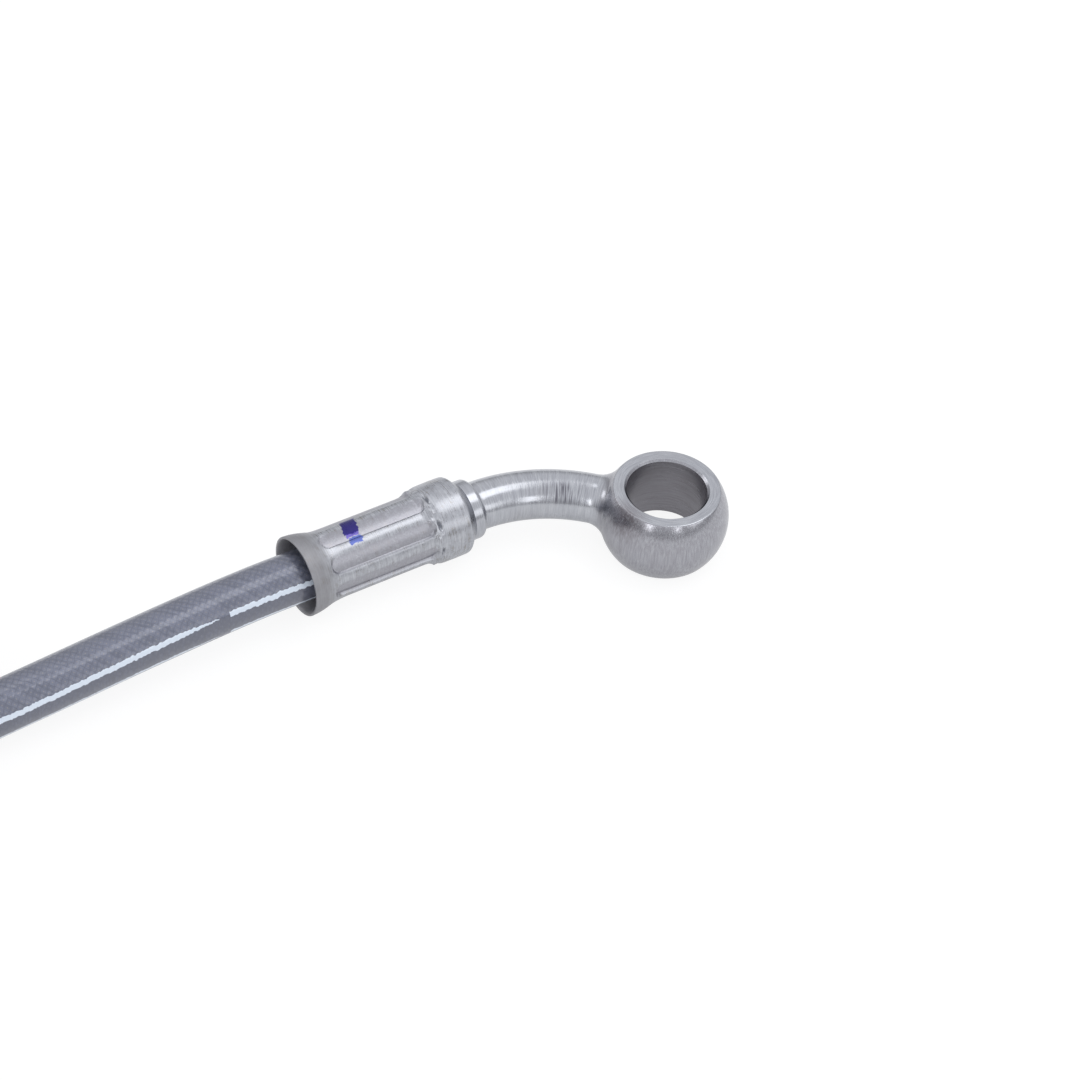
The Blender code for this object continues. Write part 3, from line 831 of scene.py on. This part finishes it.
    def make_passage(self) -> bpy.types.Object:
        """The drilling, from before the nipple's tip to the middle of the bore."""
        widen = self.shoulder
        cone = 0.3
        end = self.run - self.bore / 2 + 1
        count = 12
        rings = [(self.nipple_tip - 1, self.nipple_bore / 2), (widen, self.nipple_bore / 2)]
        for index in range(count + 1):
            rings.append((widen + cone + (end - widen - cone) * index / count, self.passage / 2))
        return round_bar("passage", [self.station(*ring) for ring in rings], sides=32)

    def lay(self, middle: Vector, point: Vector) -> Vector:
        """Where a corner lies across the tool marks; along them it is squeezed.

        Bore and sealing faces are moved along by 40 and 20, so that their marks differ from the ball's.

        Args:
            middle: The middle of its face, which says what the tool was doing there.
            point: The corner's place.

        Returns:
            Its place in the marks' pattern.
        """
        centre = self.along(self.run)
        from_eye = middle - centre
        out = point - centre
        if from_eye.length < self.ball / 2 + 0.05:
            if from_eye.xy.length < self.bore / 2 + 0.1:
                return Vector((out.z, out.x * SQUEEZE, out.y * SQUEEZE + 40))
            if abs(from_eye.z) > self.thickness / 2 - 0.01:
                return Vector((out.xy.length, out.x * SQUEEZE, out.y * SQUEEZE + 20))
            return Vector((out.x, out.y, out.z * SQUEEZE))
        run = self.run_of(point)
        turn = self.turned_at(run)
        aside = (point - self.along(run)).dot(Vector((-math.sin(turn), -math.cos(turn), 0)))
        return Vector((run, aside * SQUEEZE, point.z * SQUEEZE))

    def build(self, name: str, place: Place, finishes: Sequence[bpy.types.Material]) -> bpy.types.Object:
        """Model the fitting and put it in its place.

        Args:
            name: The finished piece's name.
            place: Where its mouth lies.
            finishes: Its steel, and the darker steel inside the bore, whose colour is painted shade.

        Returns:
            The fitting.
        """
        fitting = round_bar(name, [self.station(*ring) for ring in self.rings()], self.sides)
        combine(fitting, self.make_eye(), "UNION")
        combine(fitting, self.make_passage(), "DIFFERENCE")
        corners = list(corner_places(fitting.data))
        keep_vectors(fitting, "local", (point for _, point in corners))
        keep_vectors(fitting, "lay", (self.lay(middle, point) for middle, point in corners))
        shade(fitting, angle=24)
        eye = self.along(self.run)
        # Faces inside the bore take the darker second steel: painted shade for the dim inside of the bore.
        shaded_bore = [(face.center - eye).xy.length < self.bore / 2 + 0.05 for face in fitting.data.polygons]
        settle(fitting, name, place.matrix(), finishes)
        fitting.data.polygons.foreach_set("material_index", [int(inside) for inside in shaded_bore])
        return fitting


@dataclass(frozen=True)
class Lump:
    """A low bulge, or a dent, where a die ended: its height, and its middle and width along and round.

    Along is in millimetres past the panel's end. Round is in degrees.
    """

    height: float
    beyond: float
    long: float
    aside: float
    wide: float

    def rise(self, beyond: float, aside: float) -> float:
        """How far it lifts the surface at this spot."""
        return self.height * bell(beyond - self.beyond, self.long) * bell(aside - self.aside, self.wide)


@dataclass(frozen=True)
class CrimpFerrule:
    """The sleeve as turned, then squeezed by eight dies, in millimetres from its mouth."""

    length: float = 23.5
    bore: float = 7.2
    nose_bore: float = 5.0
    nose_wall: float = 2.2
    flare_length: float = 4.1
    flare_lip: float = 0.3
    lip_edge: float = 0.06
    dies: int = 8
    first_ridge: float = math.radians(25.0)
    crown: float = 4.55
    crown_fall: float = 0.06
    panel: float = 4.32
    panel_lean: float = 0.7  # mm that a panel falls for each radian round it
    panel_start: float = 3.1
    panel_end: float = 17.75
    panel_half: float = math.radians(13.6)
    panel_edge: float = 0.26
    panel_bow: float = 0.55  # mm by which a panel ends sooner at its sides
    let_go: tuple[float, float] = (-0.35, 0.12)  # mm past a panel's end, over which the die lets go
    hold_from: tuple[float, float] = (3.6, 5.4)  # mm along, over which the ridges sink to their crowns
    hold_to: tuple[float, float] = (15.8, 17.2)  # and over which they rise again
    fold: Lump = Lump(0.24, -0.35, 0.36, -7, 8)  # round from the panel's middle
    bead: Lump = Lump(0.1, 0.1, 0.3, 2, 3)  # round from the ridge's crown
    nick: Lump = Lump(-0.44, 0.5, 0.18, -1, 8)  # round from the panel's middle
    segments: int = 320
    ring_step: float = 0.16
    ring_apart: float = 0.035  # mm at least between a ring and a corner of the turned outline
    close_rings: tuple[float, float] = (-0.6, 1.2)  # mm past a panel's end, between which steps are halved
    turned: tuple = (
        (0.0, 5.17), (0.12, 5.2), (1.0, 5.13), (1.6, 5.03), (2.1, 4.92), (2.6, 4.79), (3.0, 4.69),
        (3.6, 4.6), (4.1, 4.57), (4.3, 4.56), (16.6, 4.56), (17.0, 4.62), (17.6, 4.78), (18.2, 4.97),
        (18.5, 5.04), (18.8, 5.08), (19.2, 5.1), (20.8, 5.12), (22.2, 5.1), (22.4, 5.06), (22.58, 4.94),
        (22.9, 4.58), (23.3, 4.12), (23.44, 3.98), (23.5, 3.9),
    )  # mm along and radius

    def turned_radius(self, along: float) -> float:
        """The outer radius before the crimp."""
        for (start, low), (end, high) in pairwise(self.turned):
            if along <= end:
                return low + (high - low) * (along - start) / (end - start)
        return self.turned[-1][1]

    def outer_rings(self) -> list[float]:
        """How far along each outer ring lies, with closer rings where the panels end."""
        corners = [along for along, _ in self.turned]
        rings = list(corners)
        spot = self.ring_step
        while spot < self.length:
            if all(abs(spot - corner) > self.ring_apart for corner in corners):
                rings.append(spot)
            close = self.close_rings[0] < spot - self.panel_end < self.close_rings[1]
            spot += self.ring_step * (0.5 if close else 1.0)
        return sorted(rings)

    def inner_rings(self) -> list[tuple[float, float]]:
        """Place and radius of the rings inside, from the nose back to the mouth."""
        bore = self.bore / 2
        lip = self.turned[0][1] - self.flare_lip
        rings = [
            (self.length, self.nose_bore / 2),
            (self.length - self.nose_wall, self.nose_bore / 2),
            (self.length - self.nose_wall, bore),
            (self.flare_length, bore),
        ]
        count = 12
        for index in range(1, count):
            along = self.flare_length * (1 - index / count)
            rings.append((along, bore + (lip - bore) * (1 - along / self.flare_length) ** 1.25))
        return rings + [(self.lip_edge, lip), (0.0, lip + self.lip_edge)]

    def across_panel(self, angle: float) -> float:
        """How far round an angle lies from the middle of its panel; angles count from straight up to -Y."""
        pitch = math.tau / self.dies
        return (angle - self.first_ridge) % pitch - pitch / 2

    def depth(self, along: float, across: float) -> float:
        """How fully the die has reached this spot, from 0 outside its panel to 1."""
        half = self.panel_half * self.panel
        aside = abs(across) * self.panel
        inside = half - math.hypot(min(along - self.panel_start - half, 0), aside)
        past_end = along - self.panel_end + self.panel_bow * (aside / half) ** 2
        sides = smooth_step(-self.panel_edge / 2, self.panel_edge / 2, inside)
        return sides * (1 - smooth_step(*self.let_go, past_end))

    def pressed(self, along: float, across: float, radius: float) -> float:
        """The outer radius after the crimp.

        Args:
            along: Distance from the mouth.
            across: Angle from the middle of the nearest panel.
            radius: The turned radius there.

        Returns:
            The radius that the dies leave.
        """
        from_crown = math.pi / self.dies - abs(across)
        crown = self.crown - self.crown_fall * (from_crown / (math.pi / self.dies - self.panel_half)) ** 2
        hold = smooth_step(*self.hold_from, along) * (1 - smooth_step(*self.hold_to, along))
        ridge = radius + (min(crown, radius) - radius) * hold
        floor = self.panel - self.panel_lean * across
        squeezed = ridge + (floor - ridge) * self.depth(along, across)
        beyond = along - self.panel_end
        fold = self.fold.rise(beyond, math.degrees(across))
        bead = self.bead.rise(beyond, math.degrees(from_crown))
        nick = self.nick.rise(beyond, math.degrees(across))
        return squeezed + fold + bead + nick

    def press(self, sleeve: bpy.types.Object) -> None:
        """Squeeze the sleeve's outside as the dies do, and keep how fully they reached each vertex."""
        reached = []
        for vert in sleeve.data.vertices:
            along, side, up = vert.co
            radius = math.hypot(side, up)
            if radius < self.turned_radius(along) - 0.02:
                reached.append(0.0)
                continue
            across = self.across_panel(math.atan2(-side, up))
            reached.append(self.depth(along, across))
            share = self.pressed(along, across, radius) / radius
            vert.co.y *= share
            vert.co.z *= share
        attribute = sleeve.data.attributes.new("pressed", "FLOAT", "POINT")
        attribute.data.foreach_set("value", reached)

    def build(self, name: str, place: Place, finish: bpy.types.Material) -> bpy.types.Object:
        """Model the ferrule and put it in its place.

        Args:
            name: The finished piece's name.
            place: Where its mouth lies.
            finish: Its steel.

        Returns:
            The ferrule.
        """
        outside = [Station(Vector((along, 0, 0)), self.turned_radius(along)) for along in self.outer_rings()]
        inside = [Station(Vector((along, 0, 0)), radius) for along, radius in self.inner_rings()]
        sleeve = begin(
            bpy.ops.mesh.primitive_circle_add,
            vertices=self.segments,
            radius=outside[0].radius,
            fill_type="NOTHING",
            rotation=(0, math.pi / 2, 0),
        )
        enter(sleeve)
        bpy.ops.mesh.select_all(action="SELECT")
        bpy.ops.transform.rotate(value=self.first_ridge, orient_axis="X", center_override=(0, 0, 0))
        draw_out(outside + inside)
        pick(sleeve, "edges", lambda edge: edge.is_boundary)
        bpy.ops.mesh.bridge_edge_loops()
        close_up(SNUG)
        self.press(sleeve)
        corners = [point for _, point in corner_places(sleeve.data)]
        keep_vectors(sleeve, "local", corners)
        keep_vectors(sleeve, "lay", (Vector((x, y * SQUEEZE, z * SQUEEZE)) for x, y, z in corners))
        shade(sleeve, angle=30)
        settle(sleeve, name, place.matrix(), [finish])
        return sleeve


@dataclass(frozen=True)
class HoseRoute:
    """The hose's centreline, in metres in the row frame: the points that the part's source has."""

    mouth: Vector = field(default_factory=lambda: Vector((-0.027072, 0.007772, 0.00522)))
    hose_end: float = 21.0 * MM
    coil_x: float = -74.0 * MM
    coil_y: float = 33.7 * MM
    coil_radius: float = 36.0 * MM
    outer_radius: float = 42.9 * MM
    far_radius: float = 44.82 * MM
    axis_height: float = 5.22 * MM
    bed_height: float = 3.3 * MM
    tie_bed: float = 4.4 * MM
    over_height: float = 11.3 * MM
    coil_from: float = math.radians(22)
    coil_to: float = math.radians(250)
    widen_from: float = math.radians(280)
    widen_to: float = math.radians(372)
    climb_to: float = math.radians(325)
    drop_from: float = math.radians(358)
    drop_to: float = math.radians(428)
    part_from: float = math.radians(385)
    far_mouth: float = math.radians(437)
    near_route: tuple = (  # mm along, mm aside and share of the way down to the tie
        (-6, 0.0, 0.0), (-14, -0.25, 0.08), (-24, -0.75, 0.25), (-34, -1.3, 0.5),
        (-43, -1.72, 0.77), (-50, -2.0, 0.95), (-57, -2.2, 1.0), (-65, -2.3, 1.0),
    )

    def on_coil(self, angle: float, radius: float, height: float) -> Vector:
        """A point round the coil's centre, at a height over the bench."""
        return Vector((
            self.mouth.x + self.coil_x - radius * math.sin(angle),
            self.mouth.y + self.coil_y - radius * math.cos(angle),
            height,
        ))

    def near_points(self) -> list[Vector]:
        """From the hose's end in the near ferrule to the coil."""
        points = [self.mouth + Vector((self.hose_end * share, 0, 0)) for share in (1, 0.5, 0)]
        for along, aside, fallen in self.near_route:
            height = self.axis_height + (self.tie_bed - self.axis_height) * fallen
            points.append(Vector((self.mouth.x + along * MM, self.mouth.y + aside * MM, height)))
        for share in (0.0, 0.5, 1.0):
            fall = smooth_step(-0.6, 1, share)
            height = self.tie_bed + (self.bed_height - self.tie_bed) * fall
            points.append(self.on_coil(self.coil_from * share, self.coil_radius, height))
        return points

    def coil_points(self) -> list[Vector]:
        """The first turn, flat on the bench."""
        count = 24
        step = (self.coil_to - self.coil_from) / count
        return [
            self.on_coil(self.coil_from + step * index, self.coil_radius, self.bed_height)
            for index in range(1, count)
        ]

    def tail_point(self, angle: float) -> Vector:
        """Past the first turn: wider, up over the incoming hose and down again."""
        radius = self.coil_radius
        radius += (self.outer_radius - self.coil_radius) * smooth_step(self.widen_from, self.widen_to, angle)
        radius += (self.far_radius - self.outer_radius) * smooth_step(self.part_from, self.far_mouth, angle)
        up = (self.over_height - self.bed_height) * smooth_step(self.coil_to, self.climb_to, angle)
        down = (self.over_height - self.axis_height) * smooth_step(self.drop_from, self.drop_to, angle)
        return self.on_coil(angle, radius, self.bed_height + up - down)

    def far_heading(self) -> Vector:
        """Direction in which the hose runs into the far ferrule."""
        return Vector((-math.cos(self.far_mouth), math.sin(self.far_mouth), 0))

    def tail_points(self) -> list[Vector]:
        """From the coil to the hose's end in the far ferrule."""
        count = 20
        step = (self.far_mouth - self.coil_to) / count
        points = [self.tail_point(self.coil_to + step * index) for index in range(count + 1)]
        inside = [points[-1] + self.far_heading() * self.hose_end * share for share in (0.5, 1)]
        return points + inside

    def line(self, spacing: float) -> list[Vector]:
        """The whole centreline, smoothed and evenly spaced.

        Args:
            spacing: Between its points, in metres.

        Returns:
            The points, from the near ferrule to the far one.
        """
        points = self.near_points() + self.coil_points() + self.tail_points()
        ends = [points[0] * 2 - points[1], *points, points[-1] * 2 - points[-2]]
        fine = 24
        dense = []
        for before, start, end, after in zip(ends, ends[1:], ends[2:], ends[3:]):
            for index in range(fine):
                t = index / fine
                square = (before * 2 - start * 5 + end * 4 - after) * t * t
                cube = (start * 3 - before - end * 3 + after) * t * t * t
                point = (start * 2 + (end - before) * t + square + cube) / 2
                point.z = max(point.z, self.bed_height)
                dense.append(point)
        dense.append(points[-1])
        runs = [0.0]
        for before, after in pairwise(dense):
            runs.append(runs[-1] + (after - before).length)
        count = round(runs[-1] / spacing)
        even = []
        index = 0
        for step in range(count + 1):
            wanted = runs[-1] * step / count
            while index < len(dense) - 2 and runs[index + 1] < wanted:
                index += 1
            share = (wanted - runs[index]) / (runs[index + 1] - runs[index])
            even.append(dense[index].lerp(dense[index + 1], min(share, 1.0)))
        return even


@dataclass(frozen=True)
class BrakeHose:
    """The jacketed hose: a tube along its route, in metres."""

    diameter: float = 6.6 * MM
    spacing: float = 1.5 * MM
    sides: int = 40

    def build(self, line: Sequence[Vector], finish: bpy.types.Material) -> bpy.types.Object:
        """Model the hose as a curve with a round section, made a mesh with millimetres in its UV map.

        Args:
            line: The route's points.
            finish: Its jacket and braid.

        Returns:
            The hose.
        """
        curve = bpy.data.curves.new("hose", "CURVE")
        curve.dimensions = "3D"
        curve.bevel_depth = self.diameter / 2
        curve.bevel_resolution = self.sides // 2 - 2
        curve.use_fill_caps = True
        curve.twist_mode = "MINIMUM"
        spline = curve.splines.new("POLY")
        spline.points.add(len(line) - 1)
        for spot, point in zip(spline.points, line):
            spot.co = (*point, 1)
        spline.use_smooth = True
        hose = bpy.data.objects.new("hose", curve)
        bpy.context.collection.objects.link(hose)
        only(hose)
        bpy.ops.object.convert(target="MESH")
        enter(hose)
        close_up(SNUG * MM)
        self.measure_uv(hose, line)
        shade(hose, angle=40)
        settle(hose, "jacketed_hose", Matrix.Identity(4), [finish])
        return hose

    def measure_uv(self, hose: bpy.types.Object, line: Sequence[Vector]) -> None:
        """Put millimetres along the hose and turns round it in a UV map of its own.

        The turns count from straight up, towards -Y at the near ferrule, and follow the hose from there.
        """
        length = sum((after - before).length for before, after in pairwise(line)) / MM
        old = hose.data.uv_layers[0].data
        starts = {}
        for corner, loop in zip(old, hose.data.loops):
            out = hose.data.vertices[loop.vertex_index].co - line[0]
            if abs(out.x) < 0.01 * MM and 0.01 < corner.uv.y < 0.99:
                starts[round(corner.uv.y, 4)] = math.atan2(-out.y, out.z) / math.tau % 1
        shares = sorted(starts)
        step = (starts[shares[1]] - starts[shares[0]] + 0.5) % 1 - 0.5
        way = math.copysign(1, step)
        shift = starts[shares[0]] - way * shares[0]
        spots = [(corner.uv.x * length, way * corner.uv.y + shift) for corner in old]
        new = hose.data.uv_layers.new(name="along_and_round")
        for corner, spot in zip(new.data, spots):
            corner.uv = spot
        hose.data.uv_layers.remove(hose.data.uv_layers[0])


@dataclass(frozen=True)
class CableTie:
    """The nylon tie that holds the coil at its crossing, in millimetres."""

    centre: tuple[float, float] = (-27.072 - 56.3, 7.772 - 2.2)
    turn: float = math.radians(17.5)
    width: float = 3.6
    thickness: float = 0.8
    half: float = 3.3 + 0.3 + 0.9  # the hose's radius, play and room across
    top: float = 11.3 + 3.3 + 0.3  # the upper run's axis, its radius and play
    corner: float = 2.6
    head: tuple[float, float, float] = (5.0, 3.6, 4.2)
    head_edge: float = 0.35
    edge: float = 0.18
    teeth_pitch: float = 0.55
    tooth: float = 0.22

    def make_band(self) -> bpy.types.Object:
        """The strap, closed round both runs of hose."""
        height = self.top - self.thickness
        middle = (0, 0, self.thickness + height / 2)
        turn = (math.pi / 2, 0, 0)
        band = begin(bpy.ops.mesh.primitive_plane_add, size=1, location=middle, rotation=turn)
        enter(band)
        pick(band, "faces")
        bpy.ops.transform.resize(value=(2 * self.half, 1, height), center_override=middle)
        bpy.ops.mesh.delete(type="ONLY_FACE")
        pick(band, "verts")
        bpy.ops.mesh.bevel(offset=self.corner, segments=10, affect="VERTICES")
        bpy.ops.mesh.select_all(action="SELECT")
        bpy.ops.transform.translate(value=(0, -self.width / 2, 0))
        bpy.ops.mesh.extrude_region_move(TRANSFORM_OT_translate={"value": (0, self.width, 0)})
        close_up()
        apply_modifier(band, "SOLIDIFY", thickness=self.thickness, offset=1, use_even_offset=True)
        apply_modifier(band, "BEVEL", width=self.edge, segments=2, limit_method="ANGLE")
        return band

    def make_head(self) -> bpy.types.Object:
        """The head, with its slot and a window in each end."""
        base = self.top + self.thickness * 0.4
        centre = Vector((0, 0, base + self.head[2] / 2))
        head = begin(bpy.ops.mesh.primitive_cube_add, size=1, location=centre, scale=self.head)
        enter(head)
        pick(head, "faces", lambda face: face.normal.z > 0.9)
        bpy.ops.mesh.inset(thickness=0.7)
        bpy.ops.mesh.extrude_region_move(TRANSFORM_OT_translate={"value": (0, 0, -1.2)})
        pick(head, "faces", lambda face: abs(face.normal.x) > 0.9 and abs(face.calc_center_median().x) > 2)
        bpy.ops.mesh.inset(thickness=0.8)
        bpy.ops.transform.resize(value=(0.94, 1, 1), center_override=centre)
        leave()
        sharp = {"limit_method": "ANGLE", "angle_limit": math.radians(40)}
        apply_modifier(head, "BEVEL", width=self.head_edge, segments=3, **sharp)
        return head

    def make_stub(self) -> bpy.types.Object:
        """The strap's cut end standing in the head's slot, with its teeth on one side."""
        base = self.top + self.thickness * 0.4
        aside = 0.2
        first = 0.6
        pitch = self.teeth_pitch
        size = (self.thickness, self.width - 1.9, 4.1)
        stub = begin(bpy.ops.mesh.primitive_cube_add, size=1, location=(aside, 0, base + 2.4), scale=size)
        enter(stub)
        pick(stub, "faces")
        for index in range(7):
            bpy.ops.mesh.select_all(action="SELECT")
            bpy.ops.mesh.bisect(plane_co=(0, 0, base + first + pitch * index), plane_no=(0, 0, 1))

        def in_gap(vert: bmesh.types.BMVert) -> bool:
            """Whether this point of the toothed side lies between two teeth."""
            return vert.co.x > aside and round((vert.co.z - base - first) / pitch) % 2 == 0

        pick(stub, "verts", in_gap)
        bpy.ops.transform.translate(value=(-self.tooth, 0, 0))
        leave()
        apply_modifier(stub, "BEVEL", width=0.04, segments=1, limit_method="ANGLE")
        return stub

    def build(self, finish: bpy.types.Material) -> bpy.types.Object:
        """Model the tie and put it round the crossing.

        Args:
            finish: Its nylon.

        Returns:
            The tie.
        """
        tie, *parts = self.make_band(), self.make_head(), self.make_stub()
        only(tie)
        for part in parts:
            part.select_set(True)
        bpy.ops.object.join()
        shade(tie, angle=35)
        place = Matrix.Translation(Vector((*self.centre, 0)) * MM)
        place = place @ Matrix.Rotation(math.pi / 2 + self.turn, 4, "Z") @ Matrix.Scale(MM, 4)
        settle(tie, "cable_tie", place, [finish])
        return tie


@dataclass(frozen=True)
class Lamp:
    """A soft white area lamp: where it stands, its sides in metres and its strength in watts."""

    name: str
    stands: tuple[float, float, float]
    sides: tuple[float, float]
    watts: float

    def build(self) -> None:
        """Make the lamp and turn it to the origin."""
        data = bpy.data.lights.new(self.name, "AREA")
        data.shape = "RECTANGLE"
        data.size, data.size_y = self.sides
        data.energy = self.watts
        lamp = bpy.data.objects.new(self.name, data)
        bpy.context.scene.collection.objects.link(lamp)
        lamp.location = self.stands
        lamp.rotation_euler = (-Vector(self.stands)).to_track_quat("-Z", "Y").to_euler()


@dataclass(frozen=True)
class Studio:
    """A pale table, soft lamps and the camera at the photograph's angle."""

    camera: tuple[float, float, float] = (-0.168217, -0.236352, 0.299193)
    right: tuple[float, float, float] = (0.84487, -0.53082, 0.06648)
    up: tuple[float, float, float] = (0.3396, 0.62819, 0.70003)
    back: tuple[float, float, float] = (-0.41336, -0.56886, 0.71101)
    lens: float = 110.457  # mm
    sensor: float = 36.0  # mm wide
    floor_side: float = 6.0
    lamps: tuple[Lamp, ...] = (
        Lamp("overhead_softbox", (0.289, -0.048, 0.637), (0.36, 0.3), 0.5),
        Lamp("right_strip", (0.289, -0.575, 0.27), (0.3, 0.25), 0.21),
        Lamp("rear_top_strip", (0.02, 0.3, 0.63), (0.2, 0.2), 0.12),
        Lamp("front_strip", (-0.095, -0.63, 0.29), (0.09, 0.27), 0.18),
        Lamp("left_strip", (-0.56, -0.315, 0.29), (0.12, 0.32), 0.29),
        Lamp("back_strip", (-0.43, 0.53, 0.22), (0.25, 0.2), 0.25),
    )

    def build_camera(self) -> None:
        """Stand the camera where the photograph was taken from."""
        data = bpy.data.cameras.new("photo_camera")
        data.lens = self.lens
        data.sensor_width = self.sensor
        data.clip_start = 0.01
        data.clip_end = 20
        camera = bpy.data.objects.new("photo_camera", data)
        bpy.context.scene.collection.objects.link(camera)
        turned = Matrix((self.right, self.up, self.back)).transposed().to_4x4()
        camera.matrix_world = Matrix.Translation(Vector(self.camera)) @ turned
        bpy.context.scene.camera = camera

    def build_floor(self) -> None:
        """A white table that keeps a faint shadow and shows white in the steel."""
        floor = begin(bpy.ops.mesh.primitive_plane_add, size=self.floor_side)
        floor.name = "table"
        material, net = new_material("white_table")
        net.add("path", "LightPath")
        net.add("mirrored", "Math", ("@path.Is Glossy Ray", 0.34), operation="MULTIPLY")
        net.add("share", "Math", ("@path.Is Camera Ray", 0.8, "@mirrored"), operation="MULTIPLY_ADD")
        net.add("paper", "BsdfDiffuse", {"Color": "#F2F2F2"})
        net.add("glow", "Emission", {"Color": "#FFFFFF", "Strength": 1.08})
        net.add("mix", "MixShader", ("@share", "@paper", "@glow"))
        net.add("out", "OutputMaterial", ("@mix",))
        floor.data.materials.append(material)

    def build_world(self) -> None:
        """White to the camera and in transmission; a pale room, darker near the horizon, to the rest."""
        world = bpy.data.worlds.new("studio_room")
        world.use_nodes = True
        net = Net(world.node_tree)
        net.add("path", "LightPath")
        net.add("seen", "Math", ("@path.Is Camera Ray", "@path.Is Transmission Ray"), operation="MAXIMUM")
        net.add("way", "TexCoord")
        net.add("height", "SeparateXYZ", ("@way.Generated",))
        net.add("level", "MapRange", ("@height.Z", 0.12, 0.5, 0.55, 0.9))
        net.add("room", "Background", {"Color": "#FAFBFF", "Strength": "@level"})
        net.add("white", "Background", {"Color": "#FFFFFF", "Strength": 1.0})
        net.add("mix", "MixShader", ("@seen", "@room", "@white"))
        net.add("out", "OutputWorld", ("@mix",))
        bpy.context.scene.world = world

    def build(self) -> None:
        """Set the whole studio up."""
        bpy.context.scene.view_settings.view_transform = "Standard"
        self.build_world()
        self.build_floor()
        for lamp in self.lamps:
            lamp.build()
        self.build_camera()


def main() -> None:
    """Build the hose, dress it and light it."""
    logging.basicConfig(level=logging.INFO, format="%(name)s %(message)s")
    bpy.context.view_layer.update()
    Studio().build()
    route = HoseRoute()
    heading = route.far_heading()
    near = Place(route.mouth, 0.0)
    far = Place(route.tail_point(route.far_mouth), math.atan2(heading.y, heading.x))
    line = route.line(BrakeHose().spacing)
    hose = BrakeHose().build(line, SmokedJacket().build())

    # The bore's steel is darker than the outside's: its colour is painted shade for the inside of the bore.
    shaded_bore = TurnedSteel(name="bored_plated_steel", pale="#918E93", dark="#7C797E", roughness=0.3)
    steel = [TurnedSteel().build(), shaded_bore.build()]
    fitting = BanjoFitting()
    near_fitting = fitting.build("near_banjo", near, steel)
    far_fitting = fitting.build("far_banjo", far, steel)
    ferrule = CrimpFerrule()
    near_ferrule = ferrule.build("near_ferrule", near, CrimpedSteel().build(inked=True))
    far_ferrule = ferrule.build("far_ferrule", far, CrimpedSteel().build(inked=False))
    tie = CableTie().build(TieNylon().build())

    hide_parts("banjo_fitting")
    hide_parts("far_banjo_fitting")
    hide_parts("crimp_ferrule")
    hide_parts("far_crimp_ferrule")
    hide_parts("coil_tie")
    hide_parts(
        "hose_cover", "hose_braid", "hose_liner", "hose_coil", "tail_cover", "tail_braid", "tail_liner"
    )


if __name__ == "__main__":
    main()
